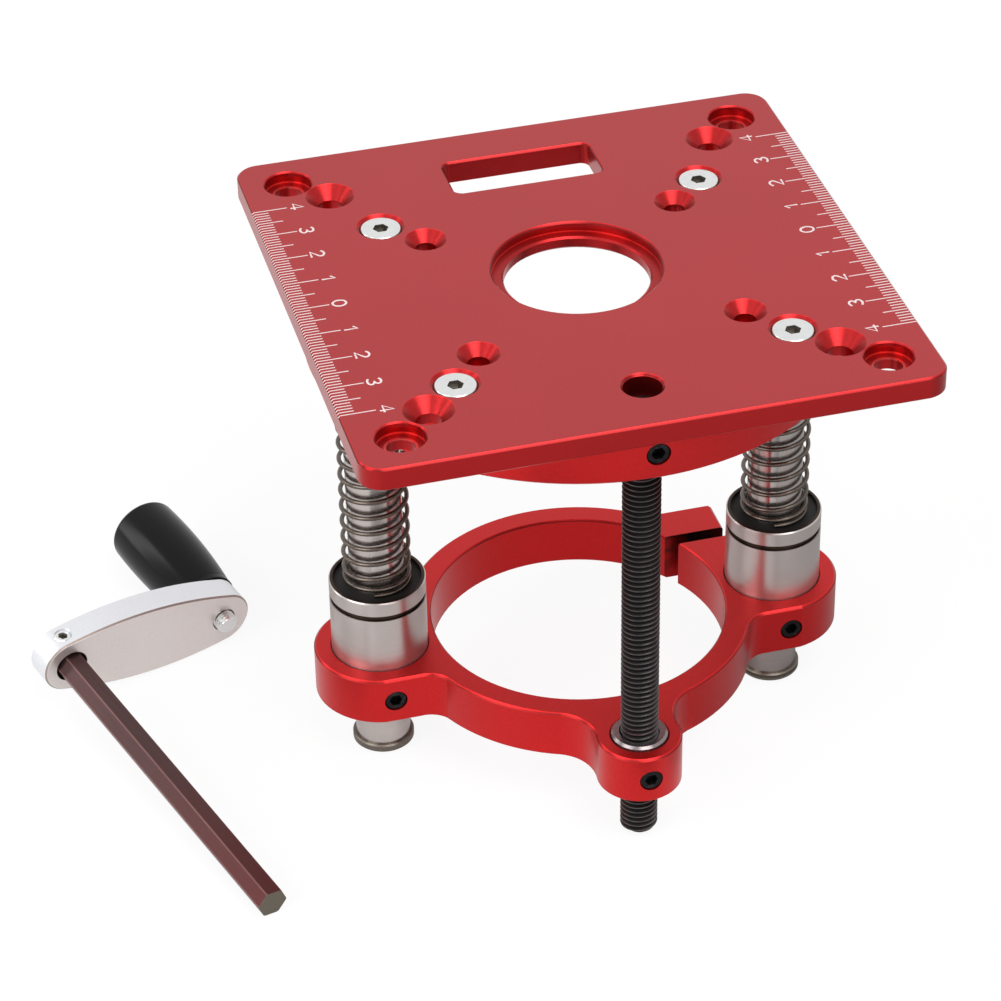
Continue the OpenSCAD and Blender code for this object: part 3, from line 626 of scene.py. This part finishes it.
def brown_bar(colours, sizes, line, end):
    """Brown phosphated bar with streaks along it, worn corners with a painted highlight, and bare steel where it
    ends.
    """
    finish = Finish.of_material("brown_bar")
    axis = line[1]
    drawn = finish.streaks(axis, 1500)
    fine = finish.noise(2600, 3)
    drift = finish.noise(60, 2)
    reach = finish.reach(axis)
    brown = finish.mix(0.4 * drawn + 0.3 * fine + 0.3 * drift, colours.bar_shade, colours.bar)
    tint = finish.ramp((reach - end) * (1 / sizes.red_length), (0.0, 0.8), (1.0, 0.0))
    brown = finish.mix(tint, brown, colours.bar_red)
    corner = sizes.key_size / math.sqrt(3)
    # Corners paler from wear and from a painted highlight
    worn = (finish.off_axis(*line) > corner - 0.8 * SKIN) * (0.4 + 0.6 * drawn)
    brown = finish.mix(worn, brown, colours.bar_edge_wear_highlight)
    return finish.surface(
        Base_Color=finish.mix(reach < end + SKIN, brown, colours.bar_end),
        Metallic=0.8,
        Roughness=0.28 + 0.14 * fine,
        Normal=finish.bump(fine, 0.01 * MM, 0.35),
    )


def gloss_grip(colours):
    """Glossy black plastic with faint hand smears."""
    finish = Finish.of_material("gloss_grip")
    smear = finish.noise(90, 3)
    fine = finish.noise(1400, 2)
    return finish.surface(
        Base_Color=finish.varied(smear, colours.grip, 0.7),
        Roughness=0.16 + 0.08 * smear,
        Normal=finish.bump(fine, 0.004 * MM, 0.25),
        Specular_IOR_Level=0.18,
    )


def scale_marks(colours):
    """Laser marked lines: pale, dull and a little uneven."""
    finish = Finish.of_material("scale_marks")
    fine = finish.noise(3000, 3)
    return finish.surface(
        Base_Color=finish.varied(fine, colours.marks, 0.86),
        Roughness=0.55 + 0.1 * fine,
    )


def white_background(finish, lit, white, seen, mirrored):
    """Mixes a lit shader with plain white, by shares for the camera's rays and for reflected ones."""
    camera, glossy, clear = (
        finish.node("ShaderNodeLightPath", {}, {}, f"Is {ray} Ray")
        for ray in ("Camera", "Glossy", "Transmission")
    )
    share = (seen * camera).larger(mirrored * glossy.larger(clear))
    return finish.node("ShaderNodeMixShader", {}, {0: share, 1: lit, 2: white})


def pale_floor(colours, seen, mirrored):
    """Pale floor that is near white to the camera and still takes shadows."""
    finish = Finish.of_material("pale_floor")
    speck = finish.noise(900, 2)
    pale = finish.varied(speck, colours.floor, 0.97)
    dull = {"Base Color": pale, "Roughness": 1.0, "Specular IOR Level": 0.0}
    lit = finish.node("ShaderNodeBsdfPrincipled", {}, dull)
    white = finish.node("ShaderNodeEmission", {}, {"Color": (1, 1, 1, 1), "Strength": 1.03})
    return finish.output(white_background(finish, lit, white, seen, mirrored))


def painted_reflection_card(name, colour):
    """Card that gives the metal its darker reflections: seen only in reflections, as painted shadow and painted
    dark reflection.
    """
    finish = Finish.of_material(name)
    weave = finish.noise(300, 2)
    return finish.surface(Base_Color=finish.varied(weave, colour, 0.8), Roughness=0.9)


def studio_world(ambient):
    """World that is white where it shows and a plain light elsewhere."""
    world = bpy.data.worlds.new("studio")
    world.use_nodes = True
    bpy.context.scene.world = world
    finish = Finish(world.node_tree)
    light = finish.node("ShaderNodeBackground", {}, {"Color": (1, 1, 1, 1), "Strength": ambient})
    white = finish.node("ShaderNodeBackground", {}, {"Color": (1, 1, 1, 1), "Strength": 1.0})
    shown = white_background(finish, light, white, 1.0, 1.0)
    finish.node("ShaderNodeOutputWorld", {}, {"Surface": shown})


def dress(material, *nodes):
    """Gives CAD nodes a finish."""
    for name in nodes:
        slots = frame["nodes"][name].data.materials
        slots.clear()
        slots.append(material)


def pair(name):
    """The left and right node of a piece that the lift has twice."""
    return f"{name}_left", f"{name}_right"


def make_piece(name, bm, material, smooth_angle=35):
    """Turns a bmesh into an object at the origin, smooth but for its sharp edges."""
    mesh = bpy.data.meshes.new(name)
    bm.to_mesh(mesh)
    bm.free()
    mesh.shade_smooth()
    mesh.set_sharp_from_angle(angle=math.radians(smooth_angle))
    mesh.materials.append(material)
    piece = bpy.data.objects.new(name, mesh)
    bpy.context.scene.collection.objects.link(piece)
    return piece


def close_shell(bm):
    """Merges the seams, fills the open ends and turns the faces outwards."""
    bmesh.ops.remove_doubles(bm, verts=bm.verts, dist=WELD)
    bmesh.ops.holes_fill(bm, edges=[edge for edge in bm.edges if edge.is_boundary])
    bmesh.ops.recalc_face_normals(bm, faces=bm.faces)


def parts_of(geometry, kind):
    """The vertices, edges or faces in an operator's result."""
    return [element for element in geometry if isinstance(element, kind)]


def add_thread(bm, radius, pitch, low, high, steps):
    """Adds a right-hand thread round Z between two heights."""
    root = radius - THREAD_DEPTH * pitch
    points = [
        bm.verts.new((root + share * (radius - root), 0, low + (rise - 1) * pitch))
        for share, rise in THREAD_SECTION
    ]
    section = points + [bm.edges.new(ends) for ends in zip(points, points[1:])]
    bmesh.ops.spin(
        bm,
        geom=section,
        cent=(0, 0, 0),
        axis=(0, 0, 1),
        dvec=(0, 0, pitch / steps),
        angle=math.tau,
        steps=steps,
    )
    turns = 1
    while turns * pitch < high - low + pitch:
        copy = bmesh.ops.duplicate(bm, geom=[*bm.verts, *bm.edges, *bm.faces])["geom"]
        rise = (0, 0, turns * pitch)
        bmesh.ops.translate(bm, verts=parts_of(copy, bmesh.types.BMVert), vec=rise)
        turns *= 2
    bmesh.ops.remove_doubles(bm, verts=bm.verts, dist=WELD)
    for height, outward in ((low, -1), (high, 1)):
        bmesh.ops.bisect_plane(
            bm,
            geom=[*bm.verts, *bm.edges, *bm.faces],
            plane_co=(0, 0, height),
            plane_no=(0, 0, outward),
            clear_outer=True,
        )


def taper_point(bm, radius, low, chamfer):
    """Draws the thread in to a chamfer at its lower end."""
    for vert in bm.verts:
        room = radius - chamfer + vert.co.z - low
        reach = vert.co.xy.length
        if reach > room > 0:
            vert.co.xy *= room / reach


def add_rod(bm, radius, low, high, segments=48):
    """Adds a plain round shank between two heights."""
    bmesh.ops.create_cone(
        bm,
        cap_ends=True,
        segments=segments,
        radius1=radius,
        radius2=radius,
        depth=high - low,
        matrix=Matrix.Translation((0, 0, (low + high) / 2)),
    )


def add_socket_head(bm, radius, height, key, depth, segments=60):
    """Adds a round head on z = 0 with a hexagon socket in its top."""
    lift = Matrix.Translation((0, 0, height))
    corners = bmesh.ops.create_circle(bm, segments=6, radius=key / math.sqrt(3), matrix=lift)
    flats = list({edge for vert in corners["verts"] for edge in vert.link_edges})
    others = set(bm.edges) - set(flats)
    bmesh.ops.subdivide_edges(bm, edges=flats, cuts=segments // 6 - 1)
    mouth = [edge for edge in bm.edges if edge not in others]
    circle = bmesh.ops.create_circle(bm, segments=segments, radius=radius, matrix=lift)
    rim = list({edge for vert in circle["verts"] for edge in vert.link_edges})
    bmesh.ops.bridge_loops(bm, edges=mouth + rim)
    for loop, drop in ((mouth, depth), (rim, height)):
        walls = bmesh.ops.extrude_edge_only(bm, edges=loop)["geom"]
        floor = parts_of(walls, bmesh.types.BMVert)
        bmesh.ops.translate(bm, verts=floor, vec=(0, 0, -drop))
    bmesh.ops.bevel(
        bm,
        geom=rim,
        offset=HEAD_ROUNDING * radius,
        segments=4,
        profile=0.5,
        affect="EDGES",
        material=-1,
    )


def axis_span(node, axis):
    """Lowest and highest place of a CAD node's corners along an axis."""
    heights = [vert.co.dot(axis) for vert in frame["nodes"][node].data.vertices]
    return min(heights), max(heights)


def make_screw(node, body, material, line, screw, sizes):
    """Replaces a CAD screw, on a line given by a point and an axis, by one with a real thread."""
    through, axis = Vector(line[0]), Vector(line[1]).normalized()
    low, high = axis_span(node, axis)
    seat = high - screw.head_height
    tip = low - seat
    thread_top = min(tip + screw.thread, SHANK_LAP)
    bm = bmesh.new()
    add_thread(bm, screw.radius, screw.pitch, tip, thread_top, sizes.turn_steps)
    taper_point(bm, screw.radius, tip, sizes.point_chamfer)
    if thread_top < 0:
        add_rod(bm, screw.radius, thread_top - SHANK_LAP, SHANK_LAP)
    add_socket_head(bm, screw.head_radius, screw.head_height, screw.key, screw.socket)
    close_shell(bm)
    foot = through + axis * (seat - through.dot(axis))
    place = Matrix.Translation(foot) @ axis.to_track_quat("Z", "Y").to_matrix().to_4x4()
    bmesh.ops.transform(bm, matrix=place, verts=bm.verts)
    piece = make_piece(f"threaded_{node}", bm, material)
    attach(piece, body)
    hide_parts(node)


def add_coil(bm, low, high, sizes):
    """Adds a spring round Z whose end turns are closed and whose other turns are even."""
    wire_r = sizes.wire_d / 2
    radius = sizes.coil_d / 2 - wire_r
    turns, closed, steps = sizes.spring_turns, sizes.closed_pitch, sizes.turn_steps
    rise = high - low - sizes.wire_d
    # Two closed turns and two that open rise as far as three closed turns and one even one
    even = (rise - 3 * closed) / (turns - 3)
    opening = [(closed + (even - closed) * (step + 0.5) / steps, 1) for step in range(steps)]
    even_steps = round((turns - 4) * steps)
    stretches = [(closed, steps), *opening, (even, even_steps), *reversed(opening), (closed, steps)]
    upright = Matrix.Rotation(math.radians(90), 4, "X")
    start = Matrix.Translation((radius, -sizes.wire_d, low + wire_r))
    ring = bmesh.ops.create_circle(bm, segments=14, radius=wire_r, matrix=start @ upright)["verts"]
    edges = list({edge for vert in ring for edge in vert.link_edges})
    end = bmesh.ops.extrude_edge_only(bm, edges=edges)["geom"]
    bmesh.ops.translate(bm, verts=parts_of(end, bmesh.types.BMVert), vec=(0, sizes.wire_d, 0))
    for pitch, count in stretches:
        loop = parts_of(end, bmesh.types.BMVert) + parts_of(end, bmesh.types.BMEdge)
        end = bmesh.ops.spin(
            bm,
            geom=loop,
            cent=(0, 0, 0),
            axis=(0, 0, 1),
            dvec=(0, 0, pitch / steps),
            angle=count * math.tau / steps,
            steps=count,
        )["geom_last"]
    tail = bmesh.ops.extrude_edge_only(bm, edges=parts_of(end, bmesh.types.BMEdge))["geom"]
    ahead = Matrix.Rotation(turns * math.tau, 4, "Z") @ Vector((0, sizes.wire_d, 0))
    bmesh.ops.translate(bm, verts=parts_of(tail, bmesh.types.BMVert), vec=ahead)
    close_shell(bm)
    turn = Matrix.Rotation(sizes.spring_start, 4, "Z")
    bmesh.ops.transform(bm, matrix=turn, verts=bm.verts)


def add_bar(bm, centre, size, lean=0.0):
    """Adds a small block, which may lean about Y."""
    place = Matrix.Translation(centre) @ Matrix.Rotation(lean, 4, "Y") @ Matrix.Diagonal((*size, 1))
    bmesh.ops.create_cube(bm, size=1, matrix=place)


def arc(centre, reach, start, end, steps=12):
    """Points along an ellipse's arc, from a start angle to an end angle in degrees."""
    angles = [math.radians(start + (end - start) * step / steps) for step in range(steps + 1)]
    return [
        (centre[0] + reach[0] * math.cos(angle), centre[1] + reach[1] * math.sin(angle))
        for angle in angles
    ]


# Pen lines of the digits from 0 to 4, in shares of their height
DIGITS = (
    arc((0, 0), (0.39, 0.5), 90, 450, 28),
    [(-0.26, 0.2), (0.08, 0.5), (0.08, -0.5)],
    [*arc((0, 0.22), (0.36, 0.28), 165, -40), (-0.38, -0.5), (0.4, -0.5)],
    [*arc((0, 0.25), (0.33, 0.25), 155, -90), *arc((0, -0.25), (0.38, 0.25), 90, -155)],
    [(0.18, -0.5), (0.18, 0.5), (-0.42, -0.2), (0.44, -0.2)],
)


def add_digit(bm, digit, sizes, place):
    """Adds a flat digit of one pen line, lying on the plate, at a place."""
    points = DIGITS[digit]
    closed = math.dist(points[0], points[-1]) < WELD
    if closed:
        points = points[:-1]
    curve = bpy.data.curves.new("digit", "CURVE")
    curve.dimensions = "3D"
    curve.bevel_depth = sizes.digit_line / 2
    curve.use_fill_caps = True
    line = curve.splines.new("POLY")
    line.use_cyclic_u = closed
    line.points.add(len(points) - 1)
    for point, (x, y) in zip(line.points, points):
        point.co = (x * sizes.digit_height, y * sizes.digit_height, 0, 1)
    holder = bpy.data.objects.new("digit", curve)
    mesh = bpy.data.meshes.new_from_object(holder)
    mesh.transform(place @ Matrix.Diagonal((1, 1, sizes.mark_height / sizes.digit_line, 1)))
    bm.from_mesh(mesh)
    bpy.data.objects.remove(holder)
    bpy.data.curves.remove(curve)
    bpy.data.meshes.remove(mesh)


def make_scale(name, side, material, sizes):
    """One side's scale: millimetre lines and digits that count centimetres from the middle."""
    edge = side * PLATE_HIGH.x
    bevel, height, width = sizes.bevel, sizes.mark_height, sizes.mark_width
    lengths = {0: sizes.long_mark, 5: sizes.middle_mark}
    slope = (0.9 * math.sqrt(2) * bevel, width, 2 * height)
    reach = 10 * sizes.scale_reach
    bm = bmesh.new()
    for tick in range(-reach, reach + 1):
        length = lengths.get(tick % 10, sizes.short_mark)
        middle = edge - side * (length + bevel) / 2
        behind = sizes.scale_middle + tick * MM
        add_bar(bm, (middle, behind, height / 2), (length - bevel, width, height))
        on_bevel = (edge - side * bevel / 2, behind, -bevel / 2)
        add_bar(bm, on_bevel, slope, side * math.radians(45))
    turn = Matrix.Rotation(side * math.radians(90), 4, "Z")
    for count in range(-sizes.scale_reach, sizes.scale_reach + 1):
        behind = sizes.scale_middle + 10 * count * MM
        spot = Matrix.Translation((edge - side * sizes.digit_inset, behind, height / 2))
        add_digit(bm, abs(count), sizes, spot @ turn)
    bmesh.ops.remove_doubles(bm, verts=bm.verts, dist=0.5 * WELD)
    bmesh.ops.recalc_face_normals(bm, faces=bm.faces)
    piece = make_piece(name, bm, material)
    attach(piece, "table_plate")


class ROUTERLIFT_OT_finish_red(bpy.types.Operator):
    """Give the plate, the flange and the clamp their red anodised finish"""

    bl_idname = "router_lift.finish_red"
    bl_label = "Finish Red Pieces"

    def execute(self, context):
        colours = context.scene.router_lift_colours
        red = red_anodised(colours, context.scene.router_lift_sizes)
        dress(red, "top_plate", "support_flange", "motor_clamp")
        return {"FINISHED"}


class ROUTERLIFT_OT_mark_scales(bpy.types.Operator):
    """Mark the two centimetre scales on the plate"""

    bl_idname = "router_lift.mark_scales"
    bl_label = "Mark Scales"

    def execute(self, context):
        material = scale_marks(context.scene.router_lift_colours)
        for name, side in (("scale_left", -1), ("scale_right", 1)):
            make_scale(name, side, material, context.scene.router_lift_sizes)
        return {"FINISHED"}


class ROUTERLIFT_OT_finish_guides(bpy.types.Operator):
    """Finish the rods, the retaining rings, the bearings and the lead nut"""

    bl_idname = "router_lift.finish_guides"
    bl_label = "Finish Guides"

    def execute(self, context):
        colours = context.scene.router_lift_colours
        low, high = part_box("bearing_shell_right")
        groove_radius = (high.x - low.x) / 2 - 2.5 * SKIN
        rod = turned_steel("ground_rod", colours, lines=2600, roughness=0.14)
        dress(rod, *pair("guide_rod"))
        shell = turned_steel(
            "turned_bearing", colours, lines=5200, roughness=0.27, groove_radius=groove_radius
        )
        dress(shell, *pair("bearing_shell"))
        ball = turned_steel("plain_steel", colours, lines=3800, roughness=0.16)
        dress(ball, *pair("bearing_balls"))
        dress(dull_steel("phosphate_steel", colours.phosphate, 0.3), *pair("retaining_ring"))
        dress(dull_steel("nut_steel", colours.nut, 0.18), "lead_nut")
        dress(moulded("seal_rubber", colours.rubber, 0.5, 0.02 * MM), *pair("bearing_seals"))
        dress(moulded("cage_plastic", colours.cage, 0.4, 0.01 * MM), *pair("bearing_cage"))
        return {"FINISHED"}


class ROUTERLIFT_OT_wind_springs(bpy.types.Operator):
    """Wind the two springs as fixed coils; the real ones shorten and stretch with the carriage"""

    bl_idname = "router_lift.wind_springs"
    bl_label = "Wind Springs"

    def execute(self, context):
        sizes = context.scene.router_lift_sizes
        material = spring_wire(context.scene.router_lift_colours)
        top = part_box("support_flange")[0].z
        for node, axis_x in zip(pair("spring"), (-ROD_X, ROD_X)):
            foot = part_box(node)[0].z
            bm = bmesh.new()
            add_coil(bm, foot, top, sizes)
            bmesh.ops.translate(bm, verts=bm.verts, vec=(axis_x, 0, 0))
            piece = make_piece(f"wound_{node}", bm, material, 60)
            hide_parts(node)
            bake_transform(piece)
        return {"FINISHED"}


class ROUTERLIFT_OT_thread_screws(bpy.types.Operator):
    """Cut the threads of the lead screw, the clamp screw and the grip's bolt"""

    bl_idname = "router_lift.thread_screws"
    bl_label = "Thread Screws"

    def execute(self, context):
        sizes = context.scene.router_lift_sizes
        colours = context.scene.router_lift_colours
        lead = Screw(
            radius=4 * MM,
            pitch=sizes.lead_pitch,
            thread=120 * MM,
            head_radius=6.5 * MM,
            head_height=8 * MM,
            key=6 * MM,
            socket=4 * MM,
        )
        cap = Screw(
            radius=2.5 * MM,
            pitch=sizes.bolt_pitch,
            thread=16 * MM,
            head_radius=4.25 * MM,
            head_height=5 * MM,
            key=4 * MM,
            socket=2.5 * MM,
        )
        lead_line, grip_line = (
            (JOINTS[name]["pos_m"], JOINTS[name]["axis"]) for name in ("lead_screw_turn", "grip_spin")
        )
        black = black_oxide(colours)
        charcoal = charcoal_thread(colours, lead_line[0], lead.radius - 1.5 * SKIN)
        clamp_low, clamp_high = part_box("clamp_screw")
        clamp_line = ((clamp_low + clamp_high) / 2, (0, 1, 0))
        make_screw("lead_screw", "lead_screw", charcoal, lead_line, lead, sizes)
        make_screw("clamp_screw", "carriage", black, clamp_line, cap, sizes)
        bolt_top = axis_span("grip_bolt", Vector(grip_line[1]))[1] - HEAD_ROUNDING * cap.head_radius
        bright = plated_steel("plated_bolt", colours, grip_line[1], bolt_top, cap.socket)
        make_screw("grip_bolt", "crank", bright, grip_line, cap, sizes)
        dress(black, "lead_screw", "clamp_screw", "flange_set_screws", "clamp_set_screws")
        dress(bright, "grip_bolt")
        for node, drop in (("plate_screws", 0), ("crank_set_screw", SOCKET_DROP)):
            low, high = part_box(node)
            top = high.z - drop
            dress(plated_steel(f"plated_{node}", colours, (0, 0, 1), top, top - low.z), node)
        return {"FINISHED"}


class ROUTERLIFT_OT_finish_crank(bpy.types.Operator):
    """Finish the crank's arm, its hexagon bar and its grip"""

    bl_idname = "router_lift.finish_crank"
    bl_label = "Finish Crank"

    def execute(self, context):
        colours = context.scene.router_lift_colours
        sizes = context.scene.router_lift_sizes
        axis = Vector(JOINTS["grip_spin"]["axis"])
        low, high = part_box("hex_bar")
        line = (low + high) / 2, axis
        face = axis_span("crank_arm", axis)[0]
        end = axis_span("hex_bar", axis)[0]
        dress(silver_anodised(colours, sizes, line, face), "crank_arm")
        dress(brown_bar(colours, sizes, line, end), "hex_bar")
        dress(gloss_grip(colours), "crank_grip")
        return {"FINISHED"}


def aim(obj, place, target):
    """Puts a light or a panel at a place, facing a target."""
    obj.location = place
    obj.rotation_euler = (Vector(target) - Vector(place)).to_track_quat("-Z", "Y").to_euler()


def add_softbox(name, place, target, size, power):
    """Adds a rectangular area light that faces a target."""
    lamp = bpy.data.lights.new(name, "AREA")
    lamp.shape = "RECTANGLE"
    lamp.size, lamp.size_y = size
    lamp.energy = power
    softbox = bpy.data.objects.new(name, lamp)
    bpy.context.scene.collection.objects.link(softbox)
    aim(softbox, place, target)


def add_panel(name, place, target, size, material, seen):
    """Adds a flat stage panel that faces a target. Unseen ones only show in reflections."""
    bm = bmesh.new()
    bmesh.ops.create_grid(bm, x_segments=1, y_segments=1, size=0.5)
    panel = make_piece(name, bm, material)
    panel.scale = (*size, 1)
    aim(panel, place, target)
    if not seen:
        panel.visible_camera = False
        panel.visible_diffuse = False
        panel.visible_shadow = False


def add_camera(stage):
    """Adds the camera at the photograph's angle and makes it the scene's."""
    turn, dip, roll = stage.azimuth, stage.elevation, stage.roll
    ahead = Vector((math.sin(turn) * math.cos(dip), math.cos(turn) * math.cos(dip), -math.sin(dip)))
    level_right = Vector((math.cos(turn), -math.sin(turn), 0))
    right = math.cos(roll) * level_right + math.sin(roll) * level_right.cross(ahead)
    up = right.cross(ahead)
    data = bpy.data.cameras.new("camera")
    data.sensor_width = SENSOR_WIDTH
    data.lens = stage.lens
    data.clip_start, data.clip_end = 0.05, 50
    camera = bpy.data.objects.new("camera", data)
    bpy.context.scene.collection.objects.link(camera)
    turned = Matrix((right, up, -ahead)).transposed().to_4x4()
    camera.matrix_world = Matrix.Translation(stage.camera_place) @ turned
    bpy.context.scene.camera = camera


class ROUTERLIFT_OT_set_stage(bpy.types.Operator):
    """Set the floor, the lights, the reflected cards and the camera"""

    bl_idname = "router_lift.set_stage"
    bl_label = "Set Stage"

    def execute(self, context):
        stage = context.scene.router_lift_stage
        colours = context.scene.router_lift_colours
        context.scene.view_settings.view_transform = "Standard"
        studio_world(stage.ambient)
        floor = pale_floor(colours, stage.seen_white, stage.mirrored_white)
        below = (0, 0, FOOT_Z - 0.05 * MM)
        add_panel("floor", below, (0, 0, -1), (6, 6), floor, True)
        softboxes = (
            ("key_softbox", (0.15, -0.6, 0.95), (0.7, 0.7), stage.key_power),
            ("left_softbox", (-0.95, -0.45, 0.45), (0.7, 0.9), stage.side_power),
            ("back_strip", (-0.95, 0.45, 0.35), (0.2, 0.7), stage.strip_power),
        )
        middle = (0, 0, -0.05)
        for name, place, size, power in softboxes:
            add_softbox(name, place, middle, size, power)
        # Cards seen only in reflections: a painted shadow at the right and a painted dark reflection in front
        cards = (
            ("side_shadow_card", colours.side_shadow_card, (0.28, -0.06), (0.5, 0.3)),
            ("front_dark_reflection_card", colours.front_dark_reflection_card, (0, -0.13), (0.2, 0.085)),
        )
        for name, colour, spot, size in cards:
            place = Vector((*spot, FOOT_Z + MM))
            add_panel(name, place, place + Vector((0, 0, 1)), size, painted_reflection_card(name, colour), False)
        add_camera(stage)
        return {"FINISHED"}


class ROUTERLIFT_PT_pieces(bpy.types.Panel):
    """Lists the steps that finish the router lift"""

    bl_idname = "ROUTERLIFT_PT_pieces"
    bl_label = "Router Lift"
    bl_space_type = "VIEW_3D"
    bl_region_type = "UI"
    bl_category = "Router Lift"

    def draw(self, context):
        for step in STEPS:
            self.layout.operator(step.bl_idname)


STEPS = (
    ROUTERLIFT_OT_finish_red,
    ROUTERLIFT_OT_mark_scales,
    ROUTERLIFT_OT_finish_guides,
    ROUTERLIFT_OT_wind_springs,
    ROUTERLIFT_OT_thread_screws,
    ROUTERLIFT_OT_finish_crank,
    ROUTERLIFT_OT_set_stage,
)
GROUPS = {
    "router_lift_sizes": RouterLiftSizes,
    "router_lift_colours": RouterLiftColours,
    "router_lift_stage": RouterLiftStage,
}
CLASSES = (*GROUPS.values(), *STEPS, ROUTERLIFT_PT_pieces)


def register():
    """Adds the classes, and the property groups to scenes."""
    for cls in CLASSES:
        bpy.utils.register_class(cls)
    for name, group in GROUPS.items():
        setattr(bpy.types.Scene, name, PointerProperty(type=group))


def unregister():
    """Takes the property groups and the classes out again."""
    for name in GROUPS:
        delattr(bpy.types.Scene, name)
    for cls in reversed(CLASSES):
        bpy.utils.unregister_class(cls)


def main():
    """Runs the steps in order."""
    register()
    bpy.ops.router_lift.finish_red()
    bpy.ops.router_lift.mark_scales()
    bpy.ops.router_lift.finish_guides()
    bpy.ops.router_lift.wind_springs()
    bpy.ops.router_lift.thread_screws()
    bpy.ops.router_lift.finish_crank()
    bpy.ops.router_lift.set_stage()


if __name__ == "__main__":
    main()
